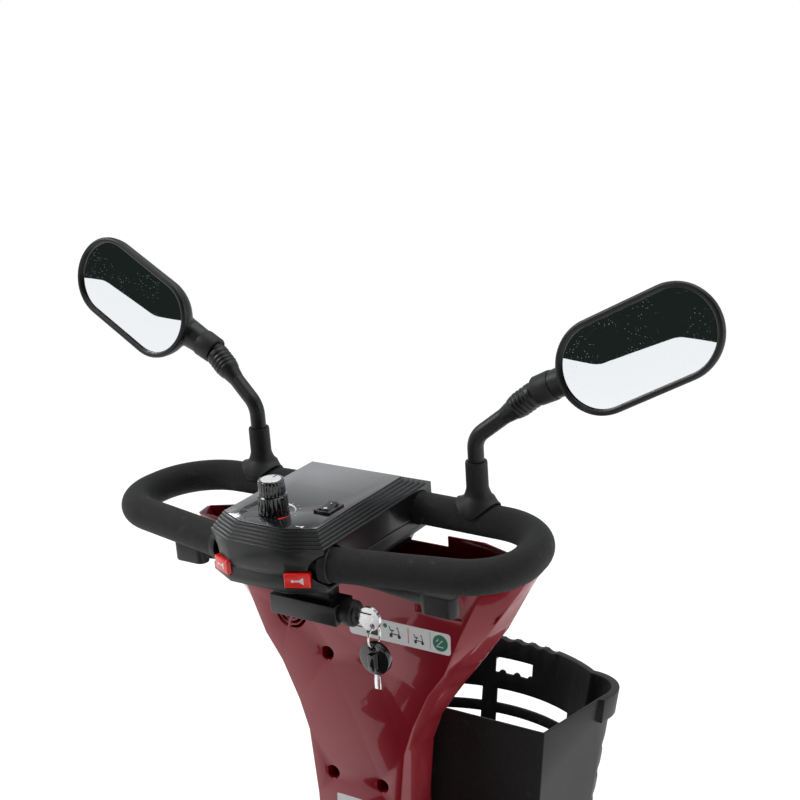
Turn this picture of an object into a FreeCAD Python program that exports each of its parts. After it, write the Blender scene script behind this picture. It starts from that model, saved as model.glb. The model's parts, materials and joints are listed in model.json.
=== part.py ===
import FreeCAD, Part
import Sketcher
import math
import os
from FreeCAD import Vector

# A compact four-wheeled mobility scooter. +X is the rider's right, +Y is forward, +Z is up, and the
# origin is on the ground under the middle of the scooter. All sizes are in millimetres or degrees.

sizes = {
    # Fits that every part shares.
    "run_gap": 0.05, "free_gap": 0.4, "seat_gap": 0.3,
    # Wheels and axles.
    "half_length": 590, "wheel_radius": 112, "tyre_width": 56, "rim_radius": 74, "track_half": 231,
    "front_axle_y": 407, "rear_axle_y": -430, "axle_radius": 8, "hub_radius": 21, "hub_half": 22,
    # Frame.
    "rail_half": 58, "rail_width": 30, "rail_low": 92, "rail_high": 132, "frame_rear": -385,
    "frame_front": 560, "subframe_low": 150, "subframe_high": 175, "subframe_rear": -560,
    "deck_support": 13,
    "kingpin_x": 172, "kingpin_radius": 8, "boss_radius": 17, "steer_arm": 52,
    # Floor and bodywork.
    "deck_half": 205, "deck_rear": -70, "deck_front": 252, "deck_low": 134, "deck_thick": 22,
    "mat_thick": 3, "panel": 3, "front_half": 118, "front_low": 132, "front_high": 300,
    "fender_radius": 158, "fender_out": 262,
    "rear_half": 190, "rear_front": -76, "rear_end": -548, "rear_low": 134, "rear_high": 330,
    "battery_half": 62, "battery_high": 150, "battery_long": 150,
    # Tiller, measured from the steering axis.
    "steer_y": 380, "rake": 7, "column_radius": 18, "column_low": 66, "tilt_height": 318,
    "tilt_pin": 6, "tube_radius": 19, "loop_height": 907,
    # Delta handlebar.
    "bar_radius": 11, "foam_radius": 18, "near_v": -182, "near_x": 252, "corner_v": -131,
    "far_x": 238, "far_v": -7, "near_bend": 59, "far_bend": 69, "bar_inner": 40,
    # Console.
    "top_half": 61.5, "top_level": 38, "near_edge": -190, "near_corner": -175, "far_edge": -14,
    "facet_half": 30, "step_out": 2.2, "step_down": 3.2, "step_count": 5, "step_back": 7, "split_level": -7,
    "base_level": -25, "shell": 2.6, "panel_thick": 1.6,
    # Controls.
    "knob_x": -8, "knob_v": -155, "knob_radius": 14.5, "knob_skirt": 16, "knob_high": 36,
    "rocker_x": 41, "rocker_v": -126, "rocker_wide": 20, "rocker_long": 27,
    "horn_x": 46, "horn_v": -200, "horn_level": -9.5, "horn_wide": 27, "horn_tall": 15,
    "horn_angle": 23, "horn_proud": 7,
    "lever_v": -103, "lever_level": -47, "lever_reach": 163, "lever_hub": 13,
    "lock_x": 62, "lock_v": -146, "lock_level": -62, "lock_radius": 14,
    "ring_radius": 11, "ring_wire": 1, "key_hole": 3, "spare_head": 18, "spare_thick": 7,
    # Mirrors.
    "mirror_x": 145, "mirror_v": 0, "stem_radius": 8.8, "collar_radius": 12, "collar_level": 64,
    "bend_level": 90, "ball_x": 215, "ball_v": 17, "ball_level": 145, "ball_radius": 12.5,
    "head_x": 328, "head_v": -6, "head_level": 199, "head_long": 184, "head_tall": 98,
    "head_tilt": 28, "head_face": 12, "head_deep": 40, "glass_thick": 3, "mirror_rim": 5,
    # Tiller covers.
    "cover_top": -42, "cover_half": 226, "cover_bottom": -556, "cover_wall": 3, "split_v": -12,
    "screw_hole": 8.2, "screw_x": 34, "strap_v": -33,
    # Basket.
    "basket_top": 640, "basket_deep": 230, "basket_rear": 322, "basket_front": 525,
    "basket_bow": 44, "basket_half": 196, "basket_left": 130, "basket_flare": 12, "basket_wall": 3,
    "rim_tall": 30, "rim_out": 7,
    # Seat.
    "post_y": -285, "post_radius": 22, "post_top": 452, "pan_level": 470, "pan_thick": 12,
    "seat_half": 212, "seat_front": -78, "seat_rear": -482, "seat_top": 556,
    "back_front": -492, "back_thick": 60, "back_low": 584, "back_high": 884, "back_half": 198,
    "hinge_y": -514, "hinge_level": 572, "side_bar": 214, "bar_thick": 8, "arm_wide": 48,
    "arm_level": 738, "arm_front": -190, "arm_rear": -452, "arm_pivot_y": -470,
    "arm_pivot_level": 702,
}

document = FreeCAD.newDocument("MobilityScooter")
sheet = document.addObject("Spreadsheet::Sheet", "Sizes")
nodes = []


class Amount:
    """A number kept together with the spreadsheet expression that gives it."""

    def __init__(self, number, text):
        self.number = float(number)
        self.text = text

    def __float__(self):
        return self.number

    def __add__(self, other):
        other = amount(other)
        return Amount(self.number + other.number, f"({self.text} + {other.text})")

    def __sub__(self, other):
        other = amount(other)
        return Amount(self.number - other.number, f"({self.text} - {other.text})")

    def __mul__(self, other):
        other = amount(other)
        return Amount(self.number * other.number, f"({self.text} * {other.text})")

    def __truediv__(self, other):
        other = amount(other)
        return Amount(self.number / other.number, f"({self.text} / {other.text})")

    def __radd__(self, other):
        return amount(other) + self

    def __rsub__(self, other):
        return amount(other) - self

    def __rmul__(self, other):
        return amount(other) * self

    def __neg__(self):
        return 0 - self


class Named:
    """Gives each spreadsheet size as an Amount, by its alias."""

    def __getattr__(self, name):
        return Amount(sheet.get(name), "Sizes." + name)


def amount(value):
    return value if isinstance(value, Amount) else Amount(value, repr(float(value)))


def sine(angle):
    return Amount(math.sin(math.radians(float(angle))), f"sin({angle.text})")


def cosine(angle):
    return Amount(math.cos(math.radians(float(angle))), f"cos({angle.text})")


def fill_sheet():
    for row, (name, value) in enumerate(sizes.items(), start=1):
        sheet.set(f"A{row}", name)
        sheet.set(f"B{row}", str(value))
        sheet.setAlias(f"B{row}", name)
    document.recompute()


fill_sheet()
S = Named()


# Building blocks.

def bind(thing, name, value):
    thing.setExpression(name, amount(value).text)


def vector(point):
    return Vector(*[float(value) for value in point])


def place(thing, at=(0, 0, 0), axis=(1, 0, 0), angle=0):
    turn = FreeCAD.Rotation(Vector(*axis), float(angle))
    thing.Placement = FreeCAD.Placement(vector(at), turn)
    for letter, value in zip("xyz", at):
        bind(thing, "Placement.Base." + letter, value)
    if float(angle):
        bind(thing, "Placement.Rotation.Angle", angle)
    return thing


def block(low, high):
    """A box between two corners, given in any order."""
    pairs = [sorted(pair, key=float) for pair in zip(low, high)]
    thing = document.addObject("Part::Box", "Block")
    for name, (start, end) in zip(("Length", "Width", "Height"), pairs):
        bind(thing, name, amount(end) - start)
    return place(thing, [pair[0] for pair in pairs])


turns = {"x": ((0, 1, 0), 90), "y": ((1, 0, 0), -90), "z": ((0, 0, 1), 0)}


def rod(radius, start, length, along="z"):
    thing = document.addObject("Part::Cylinder", "Rod")
    bind(thing, "Radius", radius)
    bind(thing, "Height", length)
    return place(thing, start, *turns[along])


def cone(radius_start, radius_end, start, length, along="z"):
    thing = document.addObject("Part::Cone", "Cone")
    bind(thing, "Radius1", radius_start)
    bind(thing, "Radius2", radius_end)
    bind(thing, "Height", length)
    return place(thing, start, *turns[along])


def torus(ring, wire, centre, along="z"):
    thing = document.addObject("Part::Torus", "Torus")
    bind(thing, "Radius1", ring)
    bind(thing, "Radius2", wire)
    return place(thing, centre, *turns[along])


def ball(radius, centre):
    thing = document.addObject("Part::Sphere", "Ball")
    bind(thing, "Radius", radius)
    return place(thing, centre)


def fuse(*things):
    joined = document.addObject("Part::MultiFuse", "Fused")
    joined.Shapes = list(things)
    joined.Refine = True
    return joined


def cut(base, *tools):
    tool = tools[0] if len(tools) == 1 else document.addObject("Part::Compound", "Tools")
    if len(tools) > 1:
        tool.Links = list(tools)
    result = document.addObject("Part::Cut", "Cut")
    result.Base = base
    result.Tool = tool
    return result


def common(first, second):
    result = document.addObject("Part::Common", "Common")
    result.Base = first
    result.Tool = second
    return result


def sketch_on(body, role, outline, offset=0):
    """A closed outline of straight edges on one of the body's own origin planes."""
    sketch = body.newObject("Sketcher::SketchObject", "Outline")
    plane = [item for item in body.Origin.OriginFeatures if item.Role == role][0]
    sketch.AttachmentSupport = [(plane, "")]
    sketch.MapMode = "FlatFace"
    bind(sketch, "AttachmentOffset.Base.z", offset)
    count = len(outline)
    corners = [Vector(float(a), float(b), 0) for a, b in outline]
    for index in range(count):
        edge = Part.LineSegment(corners[index], corners[(index + 1) % count])
        sketch.addGeometry(edge, False)
    for index in range(count):
        sketch.addConstraint(Sketcher.Constraint("Coincident", index, 2, (index + 1) % count, 1))
    for index, corner in enumerate(outline):
        for kind, value in zip(("DistanceX", "DistanceY"), corner):
            number = sketch.addConstraint(Sketcher.Constraint(kind, -1, 1, index, 1, float(value)))
            bind(sketch, f"Constraints[{number}]", value)
    return sketch


def prism(outline, plane, start, length):
    """An outline in the XY, XZ or YZ plane, padded from start along the third axis."""
    body = document.addObject("PartDesign::Body", "Prism")
    backwards = plane == "XZ_Plane"
    sketch = sketch_on(body, plane, outline, -amount(start) if backwards else start)
    pad = body.newObject("PartDesign::Pad", "Pad")
    pad.Profile = sketch
    pad.Reversed = backwards
    bind(pad, "Length", length)
    return body


def lathe(profile):
    """A profile of radius and height pairs, revolved about the Z axis."""
    body = document.addObject("PartDesign::Body", "Lathe")
    sketch = sketch_on(body, "XZ_Plane", profile)
    turning = body.newObject("PartDesign::Revolution", "Revolution")
    turning.Profile = sketch
    turning.ReferenceAxis = (sketch, ["V_Axis"])
    turning.Angle = 360
    return body


def round_edges(body, radius, chosen):
    """Fillets the edges of a body for which chosen gives true."""
    document.recompute()
    base = body.Tip
    edges = base.Shape.Edges
    names = [f"Edge{number}" for number, edge in enumerate(edges, start=1) if chosen(edge)]
    fillet = body.newObject("PartDesign::Fillet", "Fillet")
    fillet.Base = (base, names)
    bind(fillet, "Radius", radius)
    return body


def at_height(level):
    """Chooses edges that lie wholly at one height."""
    def chosen(edge):
        return all(abs(vertex.Point.z - float(level)) < 1e-4 for vertex in edge.Vertexes)
    return chosen


def solid(name, shape):
    thing = document.addObject("Part::Feature", name)
    thing.Shape = shape
    return thing


def bent_path(points, bend, closed=False):
    """Straight runs joined by tangent arcs of the given radius, or of one radius per corner."""
    spots = [vector(point) for point in points]
    count = len(spots)
    inner = range(count) if closed else range(1, count - 1)
    radii = bend if isinstance(bend, dict) else {index: float(bend) for index in inner}
    edges = []
    ends = {}
    for index in inner:
        before = (spots[index - 1] - spots[index]).normalize()
        after = (spots[(index + 1) % count] - spots[index]).normalize()
        half = math.acos(max(-1, min(1, before.dot(after)))) / 2
        reach = radii[index] / math.tan(half)
        middle = (before + after).normalize()
        centre = spots[index] + middle * (radii[index] / math.sin(half))
        ends[index] = (spots[index] + before * reach, spots[index] + after * reach,
                       centre - middle * radii[index])
    last = count if closed else count - 1
    for index in range(last):
        start = ends[index][1] if index in ends else spots[index]
        following = (index + 1) % count
        end = ends[following][0] if following in ends else spots[following]
        edges.append(Part.LineSegment(start, end).toShape())
        if following in ends:
            first, second, top = ends[following]
            edges.append(Part.Arc(first, top, second).toShape())
    return Part.Wire(edges)


def bent_rod(points, bend, radius, bore=0):
    """A round bar or tube along an open path of straight runs and arcs."""
    path = bent_path(points, bend)
    start = path.Edges[0]
    way = start.tangentAt(start.FirstParameter)
    origin = start.valueAt(start.FirstParameter)
    shapes = []
    for size in (radius, bore):
        if float(size):
            ring = Part.Wire(Part.makeCircle(float(size), origin, way))
            shapes.append(path.makePipeShell([ring], True, True))
    return shapes[0].cut(shapes[1]) if len(shapes) > 1 else shapes[0]


def stadium(centre_x, centre_z, y, long, tall, tilt):
    """A stadium outline in the XZ plane at one y, its long axis tilted from +X."""
    radius = tall / 2
    reach = long / 2 - radius
    spots = [(-reach, -radius), (reach, -radius), (reach + radius, 0), (reach, radius),
             (-reach, radius), (-reach - radius, 0)]
    turn = math.radians(tilt)
    points = [Vector(centre_x + a * math.cos(turn) - b * math.sin(turn), y,
                     centre_z + a * math.sin(turn) + b * math.cos(turn)) for a, b in spots]
    edges = [Part.LineSegment(points[0], points[1]).toShape(),
             Part.Arc(points[1], points[2], points[3]).toShape(),
             Part.LineSegment(points[3], points[4]).toShape(),
             Part.Arc(points[4], points[5], points[0]).toShape()]
    return Part.Wire(edges)


def frame_place(thing, frame):
    """Puts a thing in the scooter's frame, the raked tiller's frame or the handlebar's frame."""
    if frame == "tiller":
        place(thing, (0, S.steer_y, 0), (1, 0, 0), S.rake)
    if frame == "loop":
        forward = S.steer_y - sine(S.rake) * S.loop_height
        place(thing, (0, forward, cosine(S.rake) * S.loop_height), (1, 0, 0), S.rake)


def node(label, things, frame="scooter"):
    """Registers one sub-part, made of one thing or of several that are kept as separate solids."""
    things = things if isinstance(things, list) else [things]
    still = things[0].Placement.isIdentity() and not things[0].ExpressionEngine
    if len(things) == 1 and still:
        thing = things[0]
    else:
        thing = document.addObject("Part::Compound", "Group")
        thing.Links = things
    thing.Label = label
    frame_place(thing, frame)
    nodes.append(thing)
    return thing


sides = (("left", -1), ("right", 1))


# Frame and running gear.

def chassis_frame():
    """Welded box sections, each kept as its own bar."""
    inner = S.rail_half - S.rail_width / 2
    outer = S.rail_half + S.rail_width / 2
    bars = []
    for name, side in sides:
        bars.append(block((side * inner, S.frame_rear, S.rail_low),
                          (side * outer, S.frame_front, S.rail_high)))
        bars.append(block((side * inner, S.frame_rear, S.rail_high),
                          (side * outer, S.frame_rear + 26, S.subframe_low)))
        bars.append(block((side * inner, S.subframe_rear, S.subframe_low),
                          (side * outer, S.frame_rear + 40, S.subframe_high)))
        for y, tip in ((S.post_y - 60, S.rear_half), (S.deck_rear + 30, S.deck_half - S.deck_support),
                       (S.deck_front - 60, S.deck_half - S.deck_support)):
            bars.append(block((side * outer, y, S.rail_low + 14), (side * tip, y + 26, S.deck_low)))
    for y in (S.frame_rear, S.post_y - 60, S.post_y + 34, S.deck_rear + 30, S.deck_front - 60,
              S.frame_front - 26):
        bars.append(block((-inner, y, S.rail_low), (inner, y + 26, S.rail_high)))
    bars.append(block((-inner, S.subframe_rear, S.subframe_low),
                      (inner, S.subframe_rear + 26, S.subframe_high)))
    socket = block((-inner, S.post_y - 34, S.rail_low), (inner, S.post_y + 34, S.rail_high))
    return node("chassis_frame", bars + [socket, steering_head()] + axle_beams())


def tiller_line(height):
    """How far forward the steering axis is at a height above the ground."""
    return S.steer_y - sine(S.rake) / cosine(S.rake) * height


def steering_head():
    inner = S.rail_half - S.rail_width / 2
    middle = tiller_line(S.rail_high)
    lump = block((-inner, middle - 34, S.rail_low), (inner, middle + 34, S.rail_high + 24))
    bore = rod(S.column_radius + S.run_gap, (0, 0, 0), S.tilt_height)
    place(bore, (0, S.steer_y, 0), (1, 0, 0), S.rake)
    return cut(lump, bore)


def kingpin_v():
    """The kingpins' place in front of the steering axis, square to it."""
    forward = S.front_axle_y - S.steer_y
    return forward * cosine(S.rake) + S.wheel_radius * sine(S.rake)


def axle_height():
    """The front axle's distance up the tiller's own axis."""
    forward = S.front_axle_y - S.steer_y
    return S.wheel_radius * cosine(S.rake) - forward * sine(S.rake)


def axle_beams():
    """A bored beam at each side that carries the kingpin in its round end."""
    outer = S.rail_half + S.rail_width / 2
    beams = []
    for name, side in sides:
        arm = block((side * outer, kingpin_v() - 13, axle_height() - 14),
                    (side * S.kingpin_x, kingpin_v() + 13, axle_height() + 14))
        boss = rod(S.boss_radius, (side * S.kingpin_x, kingpin_v(), axle_height() - 22), 44)
        bore = rod(S.kingpin_radius + S.run_gap, (side * S.kingpin_x, kingpin_v(), 0), S.tilt_height)
        beam = cut(fuse(arm, boss), bore)
        frame_place(beam, "tiller")
        beams.append(beam)
    return beams


def knuckle(name, side):
    """A forked knuckle: kingpin, two lugs, spindle plate, spindle and steering arm."""
    x = side * S.kingpin_x
    level = axle_height()
    plate = S.kingpin_x + S.boss_radius + 3
    lugs = [block((side * (S.kingpin_x - 14), kingpin_v() - 14, level + low),
                  (side * (plate + 8), kingpin_v() + 14, level + low + 9)) for low in (-31.5, 22.5)]
    upright = block((side * plate, kingpin_v() - 14, level - 31.5),
                    (side * (plate + 8), kingpin_v() + 14, level + 31.5))
    pin = rod(S.kingpin_radius, (x, kingpin_v(), level - 36), 72)
    spindle = rod(S.axle_radius, (side * plate, kingpin_v(), level), S.track_half + 30 - plate, "x")
    if side < 0:
        place(spindle, (-(S.track_half + 30), kingpin_v(), level), (0, 1, 0), 90)
    nut_x = S.track_half + S.hub_half + S.free_gap
    nut = rod(13, (nut_x if side > 0 else -nut_x - 6, kingpin_v(), level), 6, "x")
    arm = block((side * (S.kingpin_x - 9), kingpin_v() - S.steer_arm, level - 31.5),
                (side * (S.kingpin_x + 9), kingpin_v(), level - 22.5))
    eye = rod(11, (x, kingpin_v() - S.steer_arm, level - 31.5), 9)
    stud = rod(5, (x, kingpin_v() - S.steer_arm, level - 47), 20)
    return node("knuckle_" + name, fuse(*lugs, upright, pin, spindle, nut, arm, eye, stud), "tiller")


def tie_rod():
    """One bar between the knuckle arms, with a tongue back to the column's drop arm."""
    top = axle_height() - 31.5 - S.free_gap
    level = top - 9
    bar = block((-S.kingpin_x, kingpin_v() - S.steer_arm - 8, level),
                (S.kingpin_x, kingpin_v() - S.steer_arm + 8, top))
    tongue = block((-14, -S.steer_arm, level), (14, kingpin_v() - S.steer_arm, top))
    heads = [rod(12, (side * S.kingpin_x, kingpin_v() - S.steer_arm, level), 9) for name, side in sides]
    heads.append(rod(14, (0, -S.steer_arm, level), 9))
    hole = 5 + S.free_gap
    holes = [rod(hole, (side * S.kingpin_x, kingpin_v() - S.steer_arm, level - 5), 20)
             for name, side in sides]
    holes.append(rod(5 + S.run_gap, (0, -S.steer_arm, level - 5), 20))
    return node("tie_rod", cut(fuse(bar, tongue, *heads), *holes), "tiller")


def steering_column():
    """The turning shaft in the frame's head, its drop arm, and the fork for the tilting tiller."""
    level = axle_height() - 31.5
    shaft = rod(S.column_radius, (0, 0, level), S.tilt_height - level - 44)
    arm = block((-10, -S.steer_arm, level), (10, 0, level + 9))
    eye = rod(12, (0, -S.steer_arm, level), 9)
    stud = rod(5, (0, -S.steer_arm, level - 15), 20)
    foot = rod(34, (0, 0, S.rail_high + 30), 8)
    base = block((-34, -24, S.tilt_height - 46), (34, 24, S.tilt_height - 34))
    cheeks = [block((side * 26, -24, S.tilt_height - 46), (side * 34, 24, S.tilt_height + 22))
              for name, side in sides]
    pin = rod(S.tilt_pin, (-38, 0, S.tilt_height), 76, "x")
    return node("steering_column", fuse(shaft, arm, eye, stud, foot, base, *cheeks, pin), "tiller")


def rim(name, side, y):
    """A dished wheel centre with five windows, turned about the X axis."""
    half = S.tyre_width / 2
    inner = S.rim_radius - 6
    bore = S.axle_radius + S.run_gap
    profile = [(bore, -S.hub_half), (S.hub_radius, -S.hub_half), (S.hub_radius, -4), (inner, -4),
               (inner, -half), (S.rim_radius + 4, -half), (S.rim_radius, -half + 5),
               (S.rim_radius, half - 5), (S.rim_radius + 4, half), (inner, half), (inner, 4),
               (S.hub_radius, 4), (S.hub_radius, S.hub_half), (bore, S.hub_half)]
    disc = lathe(profile)
    windows = []
    for turn in range(5):
        angle = math.radians(72 * turn)
        reach = (S.hub_radius + inner) / 2
        windows.append(rod(15, (reach * math.cos(angle), reach * math.sin(angle), -10), 20))
    wheel = cut(disc, *windows)
    place(wheel, (side * S.track_half, y, S.wheel_radius), (0, 1, 0), 90)
    return node("rim_" + name, [wheel])


def tyre(name, side, y):
    """A rounded pneumatic tyre that sits in the rim's well."""
    half = S.tyre_width / 2
    inside = S.rim_radius + S.run_gap
    profile = [(inside, -half + 6), (inside + 5, -half + 1), (S.wheel_radius - 14, -half),
               (S.wheel_radius - 5, -half + 7), (S.wheel_radius, -half + 16),
               (S.wheel_radius, half - 16), (S.wheel_radius - 5, half - 7),
               (S.wheel_radius - 14, half), (inside + 5, half - 1), (inside, half - 6)]
    ring = lathe(profile)
    wheel = document.addObject("Part::Compound", "Turned")
    wheel.Links = [ring]
    place(wheel, (side * S.track_half, y, S.wheel_radius), (0, 1, 0), 90)
    return node("tyre_" + name, [wheel])


def half_shaft(name, side):
    """A drive shaft from the gearbox to the rear wheel, with a retaining nut outside."""
    centre = (0, S.rear_axle_y, S.wheel_radius)
    end = S.track_half + 30
    nut_start = S.track_half + S.hub_half + S.free_gap
    shaft = rod(S.axle_radius, centre, end - 70, "x")
    nut = rod(13, centre, 6, "x")
    place(shaft, (70 if side > 0 else -end, *centre[1:]), (0, 1, 0), 90)
    place(nut, (nut_start if side > 0 else -nut_start - 6, *centre[1:]), (0, 1, 0), 90)
    return node("half_shaft_" + name, [fuse(shaft, nut)])


def transaxle():
    """Gear case, motor, axle tubes and the saddles that hang them under the rear subframe."""
    inner = S.rail_half - S.rail_width / 2
    outer = S.rail_half + S.rail_width / 2
    width = (inner - S.seat_gap) * 2
    start = S.seat_gap - inner
    tube_half = S.track_half - S.hub_half - 4
    case = rod(36, (start, S.rear_axle_y, S.wheel_radius), width, "x")
    tubes = rod(17, (-tube_half, S.rear_axle_y, S.wheel_radius), tube_half * 2, "x")
    motor = rod(30, (start, S.rear_axle_y - 62, S.wheel_radius), width, "x")
    neck = block((start, S.rear_axle_y - 62, S.wheel_radius - 24),
                 (start + width, S.rear_axle_y, S.wheel_radius + 20))
    mount = block((start, S.rear_axle_y, S.rail_low + 4), (start + width, S.frame_rear, S.rail_high - 4))
    saddles = [block((side * (inner + 2), S.rear_axle_y - 11, S.wheel_radius),
                     (side * (outer - 2), S.rear_axle_y + 11, S.subframe_low)) for name, side in sides]
    bore = rod(S.axle_radius + S.run_gap, (-S.half_length, S.rear_axle_y, S.wheel_radius),
               S.half_length * 2, "x")
    return node("transaxle", cut(fuse(case, tubes, motor, neck, mount, *saddles), bore))


# Floor, covers and seat post.

def shell_of(outline, inside, start, length):
    """A cover of even wall, open below: one side outline around another, each padded across."""
    return cut(prism(outline, "YZ_Plane", start, length),
               prism(inside, "YZ_Plane", start + S.panel, length - S.panel * 2))


def floor_deck():
    tray = prism([(-S.deck_half, S.deck_rear), (S.deck_half, S.deck_rear),
                  (S.deck_half, S.deck_front - 26), (S.deck_half - 26, S.deck_front),
                  (26 - S.deck_half, S.deck_front), (-S.deck_half, S.deck_front - 26)],
                 "XY_Plane", S.deck_low, S.deck_thick)
    return node("floor_deck", tray)


def deck_mat():
    level = S.deck_low + S.deck_thick
    edge = 16
    outline = [(edge - S.deck_half, S.deck_rear + edge), (S.deck_half - edge, S.deck_rear + edge),
               (S.deck_half - edge, S.deck_front - 34), (S.deck_half - 34, S.deck_front - edge),
               (34 - S.deck_half, S.deck_front - edge), (edge - S.deck_half, S.deck_front - 34)]
    return node("deck_mat", prism(outline, "XY_Plane", level, S.mat_thick))


def front_cover():
    """The nose cover with a fender over each front wheel, open round the steering column."""
    rear = S.deck_front + 10
    nose = S.frame_front - 2
    outline = [(rear, S.front_low), (rear, S.front_high), (S.front_axle_y, S.front_high),
               (nose - 20, S.front_high - 62), (nose, S.front_low + 20), (nose, S.front_low)]
    inside = [(rear + S.panel, S.front_low - 1), (rear + S.panel, S.front_high - S.panel),
              (S.front_axle_y - 1, S.front_high - S.panel), (nose - 20 - S.panel, S.front_high - 64.6),
              (nose - S.panel, S.front_low + 20), (nose - S.panel, S.front_low - 1)]
    shell = shell_of(outline, inside, -S.front_half, S.front_half * 2)
    middle = tiller_line(S.front_high)
    opening = block((-44, middle - 66, S.front_low + 60), (44, middle + 44, S.front_high + 5))
    fenders = []
    for name, side in sides:
        low, high = sorted((side * S.front_half, side * S.fender_out), key=float)
        hoop = cut(rod(S.fender_radius, (low, S.front_axle_y, S.wheel_radius), high - low, "x"),
                   rod(S.fender_radius - S.panel, (low, S.front_axle_y, S.wheel_radius), high - low, "x"))
        fenders.append(common(hoop, block((low, S.deck_front, S.wheel_radius + 78),
                                          (high, S.half_length, S.front_high))))
    lamp_hole = rod(30 + S.free_gap, (0, S.front_axle_y, S.front_low + 50), S.half_length, "y")
    return node("front_cover", cut(fuse(shell, *fenders), opening, lamp_hole))


def front_bumper():
    bar = prism([(-150, S.frame_front), (150, S.frame_front), (150, S.frame_front + 14),
                 (120, S.half_length), (-120, S.half_length), (-150, S.frame_front + 14)],
                "XY_Plane", S.rail_low, S.rail_high - S.rail_low)
    return node("front_bumper", round_edges(bar, 4, at_height(S.rail_high)))


def headlight():
    """A lamp body on the nose with a domed lens in front of it."""
    nose = S.frame_front - 2
    level = S.front_low + 50
    body = cone(24, 30, (0, nose - 28, level), 28, "y")
    lens = cone(27, 18, (0, nose, level), 9, "y")
    return node("headlight", [cut(body, rod(20, (0, nose - 14, level), 14, "y")), lens])


def rear_cover():
    """The body cover over the batteries and the drive, cut away for the seat post."""
    outline = [(S.rear_front, S.rear_low), (S.rear_front - 12, S.rear_high - 30),
               (S.rear_front - 42, S.rear_high), (S.rear_end + 70, S.rear_high),
               (S.rear_end, S.rear_high - 80), (S.rear_end, S.rear_low + 44),
               (S.post_y - 62, S.rear_low)]
    inside = [(S.rear_front - S.panel, S.rear_low - 1), (S.rear_front - 12 - S.panel, S.rear_high - 31.2),
              (S.rear_front - 43.2, S.rear_high - S.panel), (S.rear_end + 71.2, S.rear_high - S.panel),
              (S.rear_end + S.panel, S.rear_high - 81.2), (S.rear_end + S.panel, S.rear_low + 43),
              (S.post_y - 62, S.rear_low - 1)]
    shell = shell_of(outline, inside, -S.rear_half, S.rear_half * 2)
    post = rod(S.post_radius + 12, (0, S.post_y, S.rear_low), S.rear_high)
    return node("rear_cover", cut(shell, post))


def battery_pack():
    """Two sealed batteries side by side on the rails, each with a carrying handle on top."""
    front = S.rear_front - 26
    packs = []
    for name, side in sides:
        low, high = sorted((side * 5, side * (5 + S.battery_half * 2)), key=float)
        top = S.rail_high + S.battery_high
        case = block((low, front - S.battery_long, S.rail_high), (high, front, top))
        handle = block((low + 30, front - 90, top), (high - 30, front - 60, top + 14))
        packs.append(fuse(case, handle))
    return node("battery_pack", packs)


def tail_lamps():
    level = S.rear_high - 118
    lamps = [block((side * 96, S.rear_end - 8, level), (side * 158, S.rear_end - S.run_gap, level + 28))
             for name, side in sides]
    reflector = block((-34, S.rear_end - 5, level + 2), (34, S.rear_end - S.run_gap, level + 24))
    return node("tail_lamps", lamps + [reflector])


def anti_tip_bar():
    """A bumper hoop behind the drive that also stops the scooter from tipping back."""
    inner = S.rail_half - S.rail_width / 2
    outer = S.rail_half + S.rail_width / 2
    arms = [block((side * (inner + 4), -S.half_length, S.subframe_low - 60),
                  (side * (outer - 4), S.subframe_rear, S.subframe_high - 3)) for name, side in sides]
    skid = rod(9, (-outer - 30, S.subframe_rear - 15, S.subframe_low - 56), outer * 2 + 60, "x")
    return node("anti_tip_bar", fuse(*arms, skid))


def seat_post():
    tube = cut(rod(S.post_radius + 5, (0, S.post_y, S.rail_high), S.post_top - S.rail_high),
               rod(S.post_radius + S.run_gap, (0, S.post_y, S.rail_high + 60), S.post_top))
    return node("seat_post", [tube])


# Seat.

def seat_frame():
    """The swivel stem, the pan, the side bars for the armrests and the backrest's hinge ears."""
    stem = rod(S.post_radius, (0, S.post_y, S.post_top - 140), S.pan_level - S.post_top + 128)
    collar = rod(S.post_radius + 12, (0, S.post_y, S.post_top + S.seat_gap),
                 S.pan_level - S.pan_thick - S.post_top - S.seat_gap)
    pan = block((-S.side_bar, S.seat_rear + 4, S.pan_level - S.pan_thick),
                (S.side_bar, S.seat_front - 24, S.pan_level))
    parts = [stem, collar, pan]
    for name, side in sides:
        outside = S.side_bar + S.bar_thick
        parts.append(block((side * (S.side_bar - 20), S.arm_pivot_y - 16, S.pan_level - S.pan_thick),
                           (side * outside, S.arm_pivot_y + 16, S.pan_level)))
        parts.append(block((side * S.side_bar, S.arm_pivot_y - 16, S.pan_level - S.pan_thick),
                           (side * outside, S.arm_pivot_y + 16, S.arm_pivot_level + 18)))
        parts.append(pivot_pin(side, outside, S.arm_pivot_y, S.arm_pivot_level))
        parts.append(block((side * 150, S.hinge_y - 10, S.pan_level - S.pan_thick),
                           (side * 158, S.hinge_y + 10, S.hinge_level)))
        parts.append(block((side * 150, S.hinge_y, S.pan_level - S.pan_thick),
                           (side * 158, S.seat_rear + 10, S.pan_level)))
        parts.append(rod(10, (150 if side > 0 else -158, S.hinge_y, S.hinge_level), 8, "x"))
    bore = rod(5 + S.run_gap, (-200, S.hinge_y, S.hinge_level), 400, "x")
    return node("seat_frame", cut(fuse(*parts), bore))


def pivot_pin(side, inside, y, level):
    start, end = sorted((side * (inside - 2), side * (inside + 13)), key=float)
    return rod(6, (start, y, level), end - start, "x")


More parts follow.
